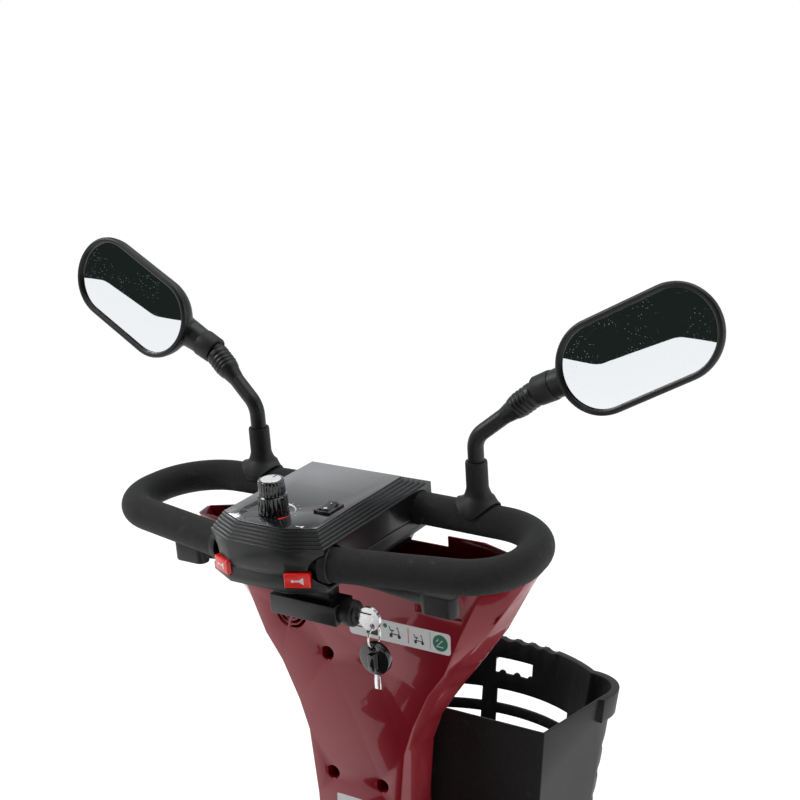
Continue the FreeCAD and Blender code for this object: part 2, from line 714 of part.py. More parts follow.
def seat_cushion():
    pad = prism([(8 - S.seat_half, S.seat_rear), (S.seat_half - 8, S.seat_rear),
                 (S.seat_half, S.seat_rear + 8),
                 (S.seat_half, S.seat_front - 50), (S.seat_half - 50, S.seat_front),
                 (50 - S.seat_half, S.seat_front), (-S.seat_half, S.seat_front - 50),
                 (-S.seat_half, S.seat_rear + 8)],
                "XY_Plane", S.pan_level + S.seat_gap, S.seat_top - S.pan_level - S.seat_gap)
    return node("seat_cushion", round_edges(pad, 7, at_height(S.seat_top)))


def backrest_frame():
    """The backrest's board, its two hinge arms and the pin through the seat frame's ears."""
    rear = S.back_front - S.back_thick
    board = block((-150, rear, S.back_low + 20), (150, rear + 8, S.back_high - 30))
    arms = []
    for name, side in sides:
        arms.append(block((side * (150 - S.free_gap), S.hinge_y - 12, S.hinge_level - 12),
                          (side * 138, S.hinge_y + 12, S.hinge_level + 12)))
        arms.append(block((side * (150 - S.free_gap), rear, S.hinge_level + 2),
                          (side * 138, S.hinge_y + 12, S.back_low - 2)))
        arms.append(block((side * (150 - S.free_gap), rear, S.hinge_level + 2),
                          (side * 138, rear + 8, S.back_low + 40)))
    pin = rod(5, (-166, S.hinge_y, S.hinge_level), 332, "x")
    return node("backrest_frame", fuse(board, *arms, pin))


def backrest_cushion():
    rear = S.back_front - S.back_thick + 8 + S.seat_gap
    cut_in = 46
    pad = prism([(-S.back_half + 10, S.back_low), (S.back_half - 10, S.back_low),
                 (S.back_half, S.back_low + 20),
                 (S.back_half, S.back_high - cut_in), (S.back_half - cut_in, S.back_high),
                 (cut_in - S.back_half, S.back_high), (-S.back_half, S.back_high - cut_in),
                 (-S.back_half, S.back_low + 20)],
                "XZ_Plane", rear, S.back_front - rear)
    return node("backrest_cushion", pad)


def armrest(name, side):
    """A flip-up arm: a bored hub on the seat frame's pin, a bar and a pad."""
    inside = S.side_bar + S.bar_thick + S.free_gap
    outside = inside + 12
    low, high = sorted((side * inside, side * outside), key=float)
    hub = rod(15, (low, S.arm_pivot_y, S.arm_pivot_level), high - low, "x")
    bar = block((side * inside, S.arm_pivot_y, S.arm_pivot_level - 8),
                (side * outside, S.arm_front - 40, S.arm_pivot_level + 8))
    bore = rod(6 + S.run_gap, (-S.half_length, S.arm_pivot_y, S.arm_pivot_level), S.half_length * 2, "x")
    pad = prism([(side * inside, S.arm_rear), (side * (inside + S.arm_wide), S.arm_rear),
                 (side * (inside + S.arm_wide), S.arm_front - 14),
                 (side * (inside + S.arm_wide - 14), S.arm_front),
                 (side * (inside + 14), S.arm_front), (side * inside, S.arm_front - 14)],
                "XY_Plane", S.arm_pivot_level + 8, S.arm_level - S.arm_pivot_level - 8)
    return node("armrest_" + name, [cut(fuse(hub, bar), bore), round_edges(pad, 6, at_height(S.arm_level))])


# Tiller. Heights here are measured up the steering axis, or from the handlebar's plane.

def tiller_tube():
    """The tilting tube with its pivot eye, and the head plate that carries handlebar and console."""
    top = S.loop_height - S.bar_radius - S.free_gap
    eye_half = 26 - S.free_gap
    tube = rod(S.tube_radius, (0, 0, S.tilt_height), top - S.tilt_height)
    eye = rod(20, (-eye_half, 0, S.tilt_height), eye_half * 2, "x")
    plate = block((-34, S.near_v - 8, top - 6), (34, 14, top))
    bracket = block((-34, 0, bracket_level()), (34, S.tube_radius + 11 - S.free_gap, bracket_level() + 26))
    straps = []
    threads = []
    for level in screw_levels:
        height = S.loop_height + level
        straps.append(block((-46, S.strap_v, height - 9), (46, S.strap_v + 7, height + 9)))
        straps.append(block((-9, S.strap_v, height - 9), (9, 0, height + 9)))
        threads += [rod(2.5 + S.run_gap, (side * S.screw_x, S.strap_v - 1, height), 9, "y")
                    for name, side in sides]
    bore = rod(S.tilt_pin + S.run_gap, (-40, 0, S.tilt_height), 80, "x")
    return node("tiller_tube", cut(fuse(tube, eye, plate, bracket, *straps), bore, *threads), "tiller")


# Levels of the cover screws, measured down from the handlebar's plane.
screw_levels = (-177, -327)


def loop_points(side, start):
    """The delta loop's corners on one side, from the near bar's inner end round to the far bar's."""
    near = S.near_v + (S.corner_v - S.near_v) / S.near_x * start
    far = S.far_v / S.far_x * start
    return [(side * start, near, 0), (side * S.near_x, S.corner_v, 0),
            (side * S.far_x, S.far_v, 0), (side * start, far, 0)]


def loop_bends():
    return {1: float(S.near_bend), 2: float(S.far_bend)}


def handlebar():
    """Two bent steel loops, joined inside the console."""
    loops = [solid("Loop", bent_rod(loop_points(side, S.bar_inner - 6), loop_bends(), S.bar_radius))
             for name, side in sides]
    return node("handlebar", loops, "loop")


def foam_grips():
    start = S.top_half + 5
    bore = S.bar_radius + S.run_gap
    grips = [solid("Grip", bent_rod(loop_points(side, start), loop_bends(), S.foam_radius, bore))
             for name, side in sides]
    return node("foam_grips", grips, "loop")


def console_outline(out, far):
    """The console seen from above: a bowed near edge in three facets and straight sides."""
    side = S.top_half + out
    near = S.near_edge - out
    corner = S.near_corner - out * 0.7
    facet = S.facet_half + out * 0.6
    half = [(facet, near), (side, corner), (side, far)]
    return half + [(-a, b) for a, b in reversed(half)]


def bar_holes():
    """Room for both foam-covered bars through the console's side walls."""
    reach = S.top_half * 2 + 80
    near = S.near_v + (S.corner_v - S.near_v) / S.near_x * S.top_half
    far = S.far_v / S.far_x * S.top_half
    return [rod(S.foam_radius + 3, (-reach / 2, near, 0), reach, "x"),
            rod(S.foam_radius + 1, (-reach / 2, far, 0), reach, "x")]


def console_cover():
    """The upper shell: stepped ribs round the top edge over a faceted body."""
    steps = []
    for step in range(int(float(S.step_count))):
        level = S.top_level - (step + 1) * S.step_down
        steps.append(prism(console_outline(S.step_out * step, S.far_edge + S.step_back * step),
                           "XY_Plane", level, S.step_down))
    out = S.step_out * S.step_count
    shoulder = S.top_level - S.step_count * S.step_down
    far = S.far_edge + 36
    body = prism(console_outline(out, far), "XY_Plane", S.split_level, shoulder - S.split_level)
    hollow = prism(console_outline(out - S.shell, far - S.shell), "XY_Plane", S.split_level - 1,
                   shoulder - S.shell - S.split_level + 1)
    upper = prism(console_outline(-S.shell, S.far_edge - S.shell), "XY_Plane", S.split_level,
                  S.top_level - S.shell - S.split_level)
    shell = cut(fuse(*steps, body), hollow, upper, *bar_holes())
    sockets = [knob_bore(), rocker_hole()] + [horn_block(side, -7, S.horn_proud + 9, S.free_gap)
                                             for name, side in sides]
    return node("console_cover", cut(shell, *sockets), "loop")


def knob_bore():
    return rod(4 + S.free_gap, (S.knob_x, S.knob_v, 0), S.top_level + 20)


def rocker_hole():
    half_x = S.rocker_wide / 2 - 1.5
    half_v = S.rocker_long / 2 - 1.5
    return block((S.rocker_x - half_x, S.rocker_v - half_v, 0),
                 (S.rocker_x + half_x, S.rocker_v + half_v, S.top_level + 20))


def horn_block(side, back, proud, room=0):
    """A horn button's block on its slanted facet, grown by room on its four edges."""
    length = proud - back
    piece = document.addObject("Part::Box", "Horn")
    bind(piece, "Length", S.horn_wide + 2 * amount(room))
    bind(piece, "Width", length)
    bind(piece, "Height", S.horn_tall + 2 * amount(room))
    angle = side * S.horn_angle
    half = S.horn_wide / 2 + room
    at_x = side * S.horn_x - cosine(angle) * half + sine(angle) * (proud)
    at_v = S.horn_v + S.horn_proud - sine(angle) * half - cosine(angle) * (proud)
    return place(piece, (at_x, at_v, S.horn_level - S.horn_tall / 2 - room), (0, 0, 1), angle)


def console_base():
    """The lower tray, the neck down to the covers, the switch box and the throttle's pivot."""
    out = S.step_out * S.step_count
    far = S.far_edge + 36
    tray = prism(console_outline(out, far), "XY_Plane", S.base_level, S.split_level - S.base_level)
    hollow = prism(console_outline(out - S.shell, far - S.shell), "XY_Plane", S.base_level + S.shell,
                   S.split_level - S.base_level)
    neck = solid("Neck", neck_shape())
    box = block((-22, S.lock_v - 13, S.lock_level - 14), (S.lock_x, S.lock_v + 20, S.lock_level + 8))
    stalk = block((-12, S.lock_v - 4, S.lock_level + 8), (50, S.lock_v + 14, S.base_level))
    pivot = rod(4, (0, S.lever_v, S.lever_level - 9), S.base_level - S.lever_level + 9)
    washer = rod(9, (0, S.lever_v, S.lever_level - 9), 3 - S.free_gap)
    tube_hole = rod(S.tube_radius + S.free_gap, (0, 0, S.base_level - 60), 200)
    horns = [horn_block(side, -7, S.horn_proud + 9, S.free_gap) for name, side in sides]
    shell = cut(tray, hollow)
    return node("console_base", cut(fuse(shell, neck, box, stalk, pivot, washer), tube_hole, *horns,
                                    *bar_holes()), "loop")


def neck_shape():
    """A funnel between the console's floor and the top of the tiller covers."""
    levels = ((S.base_level, 58, -78, 20), (S.cover_top - 12, 42, -36, 20))
    rings = []
    for level, half, near, far in levels:
        spots = ((-half, near), (half, near), (half, far), (-half, far))
        corners = [Vector(x, v, float(level)) for x, v in spots]
        rings.append(Part.makePolygon(corners + corners[:1]))
    return Part.makeLoft(rings, True, True)


def display_panel():
    """The smooth overlay on top of the console, with holes for the knob and the rocker."""
    plate = prism(console_outline(-2, S.far_edge - 2), "XY_Plane", S.top_level, S.panel_thick)
    return node("display_panel", cut(plate, knob_bore(), rocker_hole()), "loop")


def circuit_board():
    """The board behind the panel, with its display and the speed dial's shaft housing."""
    level = S.top_level - S.shell - S.panel_thick - 8
    board = block((S.knob_x - 34, S.knob_v - 12, level), (54, S.far_edge - 22, level + 1.6))
    dial = rod(9, (S.knob_x, S.knob_v, level + 1.6), 6)
    display = block((-44, S.far_edge - 76, level + 1.6), (46, S.far_edge - 30, level + 7.6))
    switch = block((S.rocker_x - 8, S.rocker_v - 11, level - 12), (S.rocker_x + 8, S.rocker_v + 11, level))
    shaft_bore = rod(3.1 + S.run_gap, (S.knob_x, S.knob_v, level - 2), 20)
    return node("circuit_board", cut(fuse(board, dial, display, switch), shaft_bore), "loop")


def speed_knob():
    """A two-step fluted knob on its shaft."""
    base = S.top_level + S.panel_thick + S.free_gap
    skirt = rod(S.knob_skirt, (S.knob_x, S.knob_v, base), S.knob_high * 0.55)
    grip = cone(S.knob_radius, S.knob_radius - 0.5, (S.knob_x, S.knob_v, base + S.knob_high * 0.55),
                S.knob_high * 0.45)
    flutes = []
    for turn in range(12):
        angle = math.radians(30 * turn + 15)
        reach = S.knob_radius + 1.4
        flutes.append(rod(2.4, (S.knob_x + reach * math.cos(angle), S.knob_v + reach * math.sin(angle),
                                base + S.knob_high * 0.55), S.knob_high))
    low = S.top_level - S.shell - S.panel_thick - 6
    shaft = rod(3.1, (S.knob_x, S.knob_v, low), base - low)
    return node("speed_knob", fuse(cut(grip, *flutes), skirt, shaft), "loop")


def power_rocker():
    """A rocker paddle on a cross pin, tipped towards off."""
    level = S.top_level + S.panel_thick
    half = S.rocker_long / 2 - 4.2
    profile = [(S.rocker_v - half, level - 4), (S.rocker_v + half, level - 4),
               (S.rocker_v + half, level + 5.5), (S.rocker_v, level + 2.6), (S.rocker_v - half, level + 3.4)]
    width = S.rocker_wide - 8
    return node("power_rocker", prism(profile, "YZ_Plane", S.rocker_x - width / 2, width), "loop")


def rocker_bezel():
    """The frame that snaps into the panel round the rocker."""
    level = S.top_level + S.panel_thick
    half_x = S.rocker_wide / 2
    half_v = S.rocker_long / 2
    flange = block((S.rocker_x - half_x, S.rocker_v - half_v, level),
                   (S.rocker_x + half_x, S.rocker_v + half_v, level + 2.4))
    sleeve = block((S.rocker_x - half_x + 1.9, S.rocker_v - half_v + 1.9, level - 8),
                   (S.rocker_x + half_x - 1.9, S.rocker_v + half_v - 1.9, level))
    room = block((S.rocker_x - half_x + 4 - S.free_gap, S.rocker_v - half_v + 2.6, level - 9),
                 (S.rocker_x + half_x - 4 + S.free_gap, S.rocker_v + half_v - 2.6, level + 9))
    return node("rocker_bezel", cut(fuse(flange, sleeve), room), "loop")


def horn_button(name, side):
    return node("horn_button_" + name, [horn_block(side, -4, S.horn_proud)], "loop")


def throttle_lever():
    """One lever across the tiller: a hub on the pivot and a paddle under each grip."""
    hub = rod(S.lever_hub, (0, S.lever_v, S.lever_level - 6), 12)
    arms = []
    for name, side in sides:
        spots = ((8, 0), (76, -1), (S.lever_reach - 18, -13))
        edge = [(side * x, S.lever_v + v - 3.5) for x, v in spots]
        edge += [(side * x, S.lever_v + v + 3.5) for x, v in reversed(spots)]
        arms.append(prism(edge, "XY_Plane", S.lever_level - 5.5, 11))
        arms.append(paddle(side))
    bore = rod(4 + S.run_gap, (0, S.lever_v, S.lever_level - 20), 40)
    return node("throttle_lever", cut(fuse(hub, *arms), bore), "loop")


def paddle(side):
    """A finger pad with rounded ends."""
    half = 21
    low = S.lever_level - 12
    x = side * S.lever_reach
    v = S.lever_v - 13
    pad = block((x - half + 9, v - 9, low), (x + half - 9, v + 9, low + 23))
    ends = [rod(9, (x + end * (half - 9), v, low), 23) for end in (-1, 1)]
    return fuse(pad, *ends)


def lock_barrel():
    """The ignition lock at the end of the switch box."""
    barrel = fuse(rod(S.lock_radius, (S.lock_x, S.lock_v + 4, S.lock_level - 3), 14, "x"),
                  rod(S.lock_radius - 3, (S.lock_x + 14, S.lock_v + 4, S.lock_level - 3), 3, "x"))
    bore = rod(3.1 + S.run_gap, (S.lock_x + 2, S.lock_v + 4, S.lock_level - 3), 20, "x")
    return node("lock_barrel", cut(barrel, bore), "loop")


def key_centre():
    """The lock's axis: where it leaves the barrel."""
    return S.lock_x + 17, S.lock_v + 4, S.lock_level - 3


def key():
    x, v, level = key_centre()
    blade = rod(3.1, (x - 12, v, level), 15, "x")
    head = rod(13, (x + 14, v - 2, level - 2), 4, "y")
    ridge = block((x + 2, v - 3.5, level - 6), (x + 18, v + 3.5, level + 4))
    hole = rod(S.key_hole, (x + 18, v - 8, level - 9), 16, "y")
    return node("key", cut(fuse(blade, head, ridge), hole), "loop")


def ring_level():
    """The split ring's wire where it passes through the key."""
    return S.lock_level - 3 - 9 - S.key_hole + S.ring_wire + 0.2


def key_ring():
    x, v, level = key_centre()
    middle = (x + 18, v, ring_level() - S.ring_radius)
    return node("key_ring", [torus(S.ring_radius, S.ring_wire, middle, "x")], "loop")


def spare_key():
    """A second key hanging from the ring: a round moulded head over a steel blade."""
    x, v, level = key_centre()
    wire = ring_level() - 2 * S.ring_radius
    hole_level = wire - S.key_hole + S.ring_wire + 0.9
    hang = x + 18
    middle = hole_level - S.spare_head + S.key_hole + 3
    near = v - S.spare_thick / 2
    head = rod(S.spare_head, (hang, near, middle), S.spare_thick, "y")
    ridge = block((hang - 4, near - 6, middle - 11), (hang + 4, near, middle + 7))
    blade = block((hang - 3.5, v - 1, middle - S.spare_head - 18), (hang + 3.5, v + 1, middle))
    hole = rod(S.key_hole, (hang, v - 12, hole_level), 24, "y")
    return node("spare_key", cut(fuse(head, ridge, blade), hole), "loop")


# Mirrors.

def mirror_mounts():
    """A skirted foot on each far grip with a collar that holds the mirror's stem."""
    mounts = []
    for name, side in sides:
        x = side * S.mirror_x
        foot = cone(24, S.collar_radius + 2, (x, S.mirror_v, S.foam_radius - 7), 22)
        neck = rod(S.collar_radius, (x, S.mirror_v, S.foam_radius), S.collar_level - S.foam_radius)
        grip_v = S.far_v / S.far_x * S.mirror_x
        saddle = rod(S.foam_radius + 1.4, (x - 40, grip_v, 0), 80, "x")
        bore = rod(S.stem_radius + S.run_gap, (x, S.mirror_v, S.foam_radius + 8), 90)
        mounts.append(cut(fuse(foot, neck), saddle, bore))
    return node("mirror_mounts", mounts, "loop")


def mirror_stem(name, side):
    """A cranked stem that ends in a ball, with a ribbed boot below the ball."""
    points = [(side * S.mirror_x, S.mirror_v, S.foam_radius + 9),
              (side * S.mirror_x, S.mirror_v, S.bend_level),
              (side * S.ball_x, S.ball_v, S.ball_level)]
    start, end = vector(points[1]), vector(points[2])
    way = (end - start).normalize()
    arm = bent_rod(points, 24, S.stem_radius)
    shape = arm.fuse(Part.makeSphere(float(S.ball_radius), end))
    shape = shape.fuse(Part.makeCylinder(float(S.stem_radius) + 2.2, 22, end - way * 30, way))
    for rib in range(3):
        spot = end - way * (10 + 6 * rib)
        shape = shape.fuse(Part.makeCylinder(float(S.ball_radius), 3.2, spot - way * 3.2, way))
    return node("mirror_stem_" + name, solid("Stem", shape), "loop")


def head_wire(side, v, shrink):
    return stadium(side * float(S.head_x), float(S.head_level), float(S.head_v) + v,
                   float(S.head_long) - shrink, float(S.head_tall) - shrink, side * float(S.head_tilt))


def mirror_head(name, side):
    """The bulged housing with its glass seat, and the socket that turns on the stem's ball."""
    deep = float(S.head_deep)
    wires = [head_wire(side, 0, 2), head_wire(side, 4, 0), head_wire(side, deep * 0.45, 8),
             head_wire(side, deep * 0.8, 34), head_wire(side, deep, 66)]
    shell = Part.makeLoft(wires, True, False)
    centre = vector((side * S.ball_x, S.ball_v, S.ball_level))
    middle = vector((side * S.head_x, S.head_v + S.head_deep * 0.42, S.head_level))
    way = (middle - centre).normalize()
    neck = Part.makeCone(float(S.ball_radius) + 2.5, 17, 62, centre + way * 3, way)
    shape = shell.fuse(neck)
    seat = float(S.mirror_rim) + 1.2
    wire = head_wire(side, -30, 2 * seat)
    shape = shape.cut(Part.Face(wire).extrude(Vector(0, 30 + float(S.glass_thick) + 2, 0)))
    room = float(S.ball_radius) + float(S.seat_gap)
    shape = shape.cut(Part.makeSphere(room, centre))
    return node("mirror_head_" + name, solid("Head", turned_up(shape, side)), "loop")


def turned_up(shape, side):
    """A mirror part turned about the ball, so that the glass looks a little upwards."""
    centre = vector((side * S.ball_x, S.ball_v, S.ball_level))
    return shape.rotate(centre, Vector(1, 0, 0), -float(S.head_face))


def mirror_glass(name, side):
    seat = 2 * (float(S.mirror_rim) + 1.2 + float(S.run_gap))
    back = float(S.glass_thick) + 2
    wire = head_wire(side, back - float(S.glass_thick), seat)
    glass = Part.Face(wire).extrude(Vector(0, float(S.glass_thick), 0))
    return node("mirror_glass_" + name, solid("Glass", turned_up(glass, side)), "loop")


# Tiller covers: a rear shell towards the rider and a front shell, split at the flange.

# Each level of the rear shell: distance down from the handlebar's plane, then the inset of the flat
# face's edge and of the facet's edge from the flange, then the flange's share of the top half-width.
cover_levels = ((-42, 45, 4, 1.0), (-60, 44, 4, 0.951), (-120, 38, 13, 0.801), (-170, 22, 18, 0.637),
                (-200, 21, 16, 0.535), (-245, 12, 7, 0.398), (-280, 10, 6, 0.336),
                (-360, 8, 4, 0.288), (-556, 8, 4, 0.257))


def face_v(level):
    """How far behind the steering axis the rear shell's flat face lies at a level."""
    return -45 - (-42 - level) * 0.059


def rear_section(level, face, facet, share, inset):
    """Half of the rear shell's outline at a level, from the flange in to the middle."""
    flange = float(S.cover_half) * share
    back = face_v(level)
    chamfer = max(-34, back + (flange - facet) * 0.02 + 3)
    return [(flange - inset, float(S.split_v)),
            (flange - facet - inset, max(chamfer, back + 4) + inset * 0.6),
            (flange - face - inset * 0.8, back + inset)]


def front_section(level, face, facet, share, inset):
    """Half of the front shell's outline at a level."""
    flange = float(S.cover_half) * share
    reach = 27 - inset
    return [(flange - inset, float(S.split_v) + float(S.run_gap)), (flange * 0.86 - inset, 6 - inset * 0.4),
            (min(flange * 0.6, flange - 12) - inset * 0.8, reach)]


def cover_solid(section, inset, grow):
    """A lofted solid through the levels, mirrored about the middle."""
    rings = []
    for level, face, facet, share in cover_levels:
        half = section(level, face, facet, share, inset)
        shift = grow if level == cover_levels[0][0] else -grow if level == cover_levels[-1][0] else 0
        points = half + [(-x, v) for x, v in reversed(half)]
        corners = [Vector(x, v, level + shift) for x, v in points]
        rings.append(Part.makePolygon(corners + corners[:1]))
    return Part.makeLoft(rings, True, True)


def cover_shell(section):
    wall = float(S.cover_wall)
    outer = cover_solid(section, 0, 0)
    inner = cover_solid(section, wall, 1)
    return outer.cut(inner)


def rear_holes():
    """Screw access holes, the sounder's slots, and a window each for the throttle's box."""
    tools = []
    centre = Vector(-83, -90, -134)
    tools.append(Part.makeCylinder(3, 60, centre, Vector(0, 1, 0)))
    for radius in (9, 15, 20.5):
        ring = Part.makeCylinder(radius + 1.5, 60, centre, Vector(0, 1, 0)).cut(
            Part.makeCylinder(radius - 1.5, 60, centre, Vector(0, 1, 0)))
        for turn in (0, 90):
            bar = Part.makeBox(60, 60, 4.4, Vector(-30, 0, -2.2))
            turned = FreeCAD.Rotation(Vector(0, 1, 0), turn + 10 * (radius > 10))
            bar.Placement = FreeCAD.Placement(centre, turned)
            ring = ring.cut(bar)
        tools.append(ring)
    return tools


def recesses():
    """The shallow pressed panel at each top corner of the rear shell."""
    pieces = []
    for name, side in sides:
        spots = ((88, -101), (145, -101), (170, -62), (178, -40), (88, -40))
        corners = [Vector(side * x, face_v(z) + 1.2, z) for x, z in spots]
        face = Part.Face(Part.makePolygon(corners + corners[:1]))
        pieces.append(face.extrude(Vector(0, -30, 0)))
    return pieces


def screw_boss(side, level, radius, start, end):
    spot = Vector(side * float(S.screw_x), start, level)
    return Part.makeCylinder(radius, end - start, spot, Vector(0, 1, 0))


def shroud_rear():
    """The shell towards the rider, with four deep screw bosses that reach the tiller's straps."""
    shell = cover_shell(rear_section)
    seat = float(S.strap_v) - float(S.run_gap)
    spots = [(side, level) for level in screw_levels for name, side in sides]
    for side, level in spots:
        shell = shell.fuse(screw_boss(side, level, float(S.screw_hole) + 2, face_v(level) + 1, seat))
    for side, level in spots:
        shell = shell.cut(screw_boss(side, level, float(S.screw_hole), face_v(level) - 20, seat - 3))
        shell = shell.cut(screw_boss(side, level, 2.5 + float(S.free_gap), seat - 4, seat + 1))
    for tool in rear_holes() + recesses():
        shell = shell.cut(tool)
    notch = Part.makeBox(2 * 62, 60, 14, Vector(-62, -80, -56))
    return node("shroud_rear", solid("RearShell", shell.cut(notch)), "loop")


def shroud_front():
    """The front shell, with the slot that the basket's bracket passes through."""
    shell = cover_shell(front_section)
    notch = Part.makeBox(176, 80, 14, Vector(-88, -20, -55))
    slot = Part.makeBox(92, 40, 110, Vector(-46, 10, -352))
    return node("shroud_front", solid("FrontShell", shell.cut(notch).cut(slot)), "loop")


def shroud_screws():
    """The screws deep in the bosses, which pull the covers onto the tiller's straps."""
    screws = []
    head = S.strap_v - 3 - S.run_gap
    for level in screw_levels:
        for name, side in sides:
            screws.append(fuse(rod(5, (side * S.screw_x, head - 4, level), 4, "y"),
                               rod(2.5, (side * S.screw_x, head, level), 10, "y")))
    return node("shroud_screws", screws, "loop")


# Basket.

def bracket_level():
    """How far up the steering axis the basket's bracket stands."""
    return S.basket_top - 80


def basket_ring(level, out, shrink=0):
    """The basket's outline at a height: a flat rear wall, flared sides and a bowed front."""
    rise = (level - float(S.basket_top)) / float(S.basket_deep)
    half = float(S.basket_half) + rise * 26 + out
    short = float(S.basket_half - S.basket_left)
    rear = float(tiller_line(amount(level))) + float(S.tube_radius) + 12.5 - out
    front = float(S.basket_front) + rise * 22 + out
    corner = 46 + out
    wide = half + float(S.basket_flare)
    bow = float(S.basket_bow)
    right = [Vector(half, rear, level), Vector(wide, front - corner, level),
             Vector(wide - corner * 0.3, front - corner * 0.28, level), Vector(wide - corner, front, level)]
    left = [Vector(short - spot.x, spot.y, level) for spot in right]
    spots = [left[0]] + right + [Vector(short / 2, front + bow, level)] + left[:0:-1]
    edges = [Part.LineSegment(spots[0], spots[1]), Part.LineSegment(spots[1], spots[2]),
             Part.Arc(spots[2], spots[3], spots[4]), Part.Arc(spots[4], spots[5], spots[6]),
             Part.Arc(spots[6], spots[7], spots[8]), Part.LineSegment(spots[8], spots[0])]
    return Part.Wire([edge.toShape() for edge in edges])


def basket_band(low, high, out, wall):
    outer = Part.makeLoft([basket_ring(low, out), basket_ring(high, out)], True, True)
    inner = Part.makeLoft([basket_ring(low - 1, out - wall), basket_ring(high + 1, out - wall)], True, True)
    return outer.cut(inner)


def basket():
    """A moulded carrying basket: rimmed at the sides and front, slotted at the front and corners."""
    top = float(S.basket_top)
    low = top - float(S.basket_deep)
    wall = float(S.basket_wall)
    walls = basket_band(low, top, 0, wall)
    floor = Part.makeLoft([basket_ring(low, 0), basket_ring(low + wall, 0)], True, True)
    rim = basket_band(top - float(S.rim_tall), top, float(S.rim_out), float(S.rim_out) + 0.5)
    rim = rim.common(Part.makeBox(600, 300, 80, Vector(-300, 454, top - 60)))
    shape = walls.fuse([floor, rim])
    front = float(S.basket_front) - 30
    ahead = Vector(0, 1, 0)
    short = float(S.basket_half - S.basket_left)
    for start, end in ((10, 123), (short - 123, -10)):
        for drop in (87, 120):
            shape = shape.cut(Part.makeBox(end - start, 120, 19, Vector(start, front, top - drop)))
    shape = shape.cut(hand_hole(short / 2 - 27, front, top - 46))
    for wave in range(4):
        dent = Part.makeCylinder(14, 160, Vector(short / 2 - 11 + 22 * wave, front, top + 11.5), ahead)
        shape = shape.cut(dent)
    for side, at in ((1, 178), (-1, short - 178)):
        for row in range(5):
            level = top - 70 - 34 * row
            hole = Part.makeCylinder(11, 60, Vector(at, 470, level), Vector(side * 0.62, 0.78, 0))
            shape = shape.cut(hole)
    bracket = float(bracket_level()) + 26.4
    base = frame_matrix()
    hook = Part.makeBox(60, 16, 8, Vector(-30, float(S.tube_radius) + 3, bracket))
    shape = shape.fuse(hook.transformGeometry(base))
    return node("basket", solid("Basket", shape))


def hand_hole(start, front, level):
    """A grip opening whose lower edge is shaped for two fingers."""
    opening = Part.makeBox(54, 120, 20, Vector(start, front, level))
    for spot in (10, 31, 52):
        bump = Part.makeCylinder(5, 120, Vector(start + spot, front, level - 1), Vector(0, 1, 0))
        opening = opening.cut(bump)
    return opening


def frame_matrix():
    turn = FreeCAD.Rotation(Vector(1, 0, 0), float(S.rake))
    return FreeCAD.Placement(Vector(0, float(S.steer_y), 0), turn).toMatrix()


def report_faults():
    """Stops if any object failed or any sub-part's shape is missing or broken."""
    for thing in document.Objects:
        if "Invalid" in thing.State or "Error" in thing.State:
            raise RuntimeError(f"{thing.Name} {thing.Label} failed: {thing.State}")
    for thing in nodes:
        if thing.Shape.isNull() or not thing.Shape.isValid():
            raise RuntimeError(thing.Label + " has no valid shape")


def write_parts():
    os.makedirs("parts", exist_ok=True)
    for thing in nodes:
        thing.Shape.exportStep(f"parts/{thing.Label}.step")
        box = thing.Shape.BoundBox
        corners = (box.XMin, box.YMin, box.ZMin, box.XMax, box.YMax, box.ZMax)
        print(thing.Label, len(thing.Shape.Solids), [round(value) for value in corners])


def build():
    chassis_frame()
    transaxle()
    steering_column()
    tie_rod()
    for name, side in sides:
        knuckle(name, side)
        half_shaft(name, side)
        rim("front_" + name, side, S.front_axle_y)
        tyre("front_" + name, side, S.front_axle_y)
        rim("rear_" + name, side, S.rear_axle_y)
        tyre("rear_" + name, side, S.rear_axle_y)
    floor_deck()
    deck_mat()
    front_cover()
    front_bumper()
    headlight()
    rear_cover()
    battery_pack()
    tail_lamps()
    anti_tip_bar()
    seat_post()
    tiller_tube()
    handlebar()
    foam_grips()
    console_base()
    console_cover()
    display_panel()
    circuit_board()
    speed_knob()
    rocker_bezel()
    power_rocker()
    throttle_lever()
    lock_barrel()
    key()
    key_ring()
    spare_key()
    mirror_mounts()
    for name, side in sides:
        horn_button(name, side)
        mirror_stem(name, side)
        mirror_head(name, side)
        mirror_glass(name, side)
    shroud_rear()
    shroud_front()
    shroud_screws()
    basket()
    seat_frame()
    seat_cushion()
    backrest_frame()
    backrest_cushion()
    for name, side in sides:
        armrest(name, side)
    document.recompute()
    report_faults()
    write_parts()


build()
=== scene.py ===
import json
import math

import bmesh
import bpy
import numpy as np
from mathutils import Matrix, Vector


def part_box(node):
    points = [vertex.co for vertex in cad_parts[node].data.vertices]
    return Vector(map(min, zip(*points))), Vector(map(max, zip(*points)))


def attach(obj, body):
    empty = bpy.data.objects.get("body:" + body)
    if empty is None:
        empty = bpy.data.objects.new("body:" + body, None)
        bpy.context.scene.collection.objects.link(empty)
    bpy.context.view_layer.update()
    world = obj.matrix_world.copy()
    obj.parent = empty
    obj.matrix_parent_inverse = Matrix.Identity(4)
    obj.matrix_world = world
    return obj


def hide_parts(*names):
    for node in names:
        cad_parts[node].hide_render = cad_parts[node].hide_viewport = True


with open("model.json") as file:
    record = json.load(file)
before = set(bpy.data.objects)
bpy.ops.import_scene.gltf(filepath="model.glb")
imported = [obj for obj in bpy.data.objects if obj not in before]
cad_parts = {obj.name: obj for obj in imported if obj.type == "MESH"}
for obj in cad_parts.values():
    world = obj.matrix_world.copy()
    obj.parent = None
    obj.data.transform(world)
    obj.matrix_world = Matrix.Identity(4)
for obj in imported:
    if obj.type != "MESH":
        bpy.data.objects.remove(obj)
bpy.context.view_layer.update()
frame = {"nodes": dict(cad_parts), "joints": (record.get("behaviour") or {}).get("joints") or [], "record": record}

sides = (("left", -1), ("right", 1))
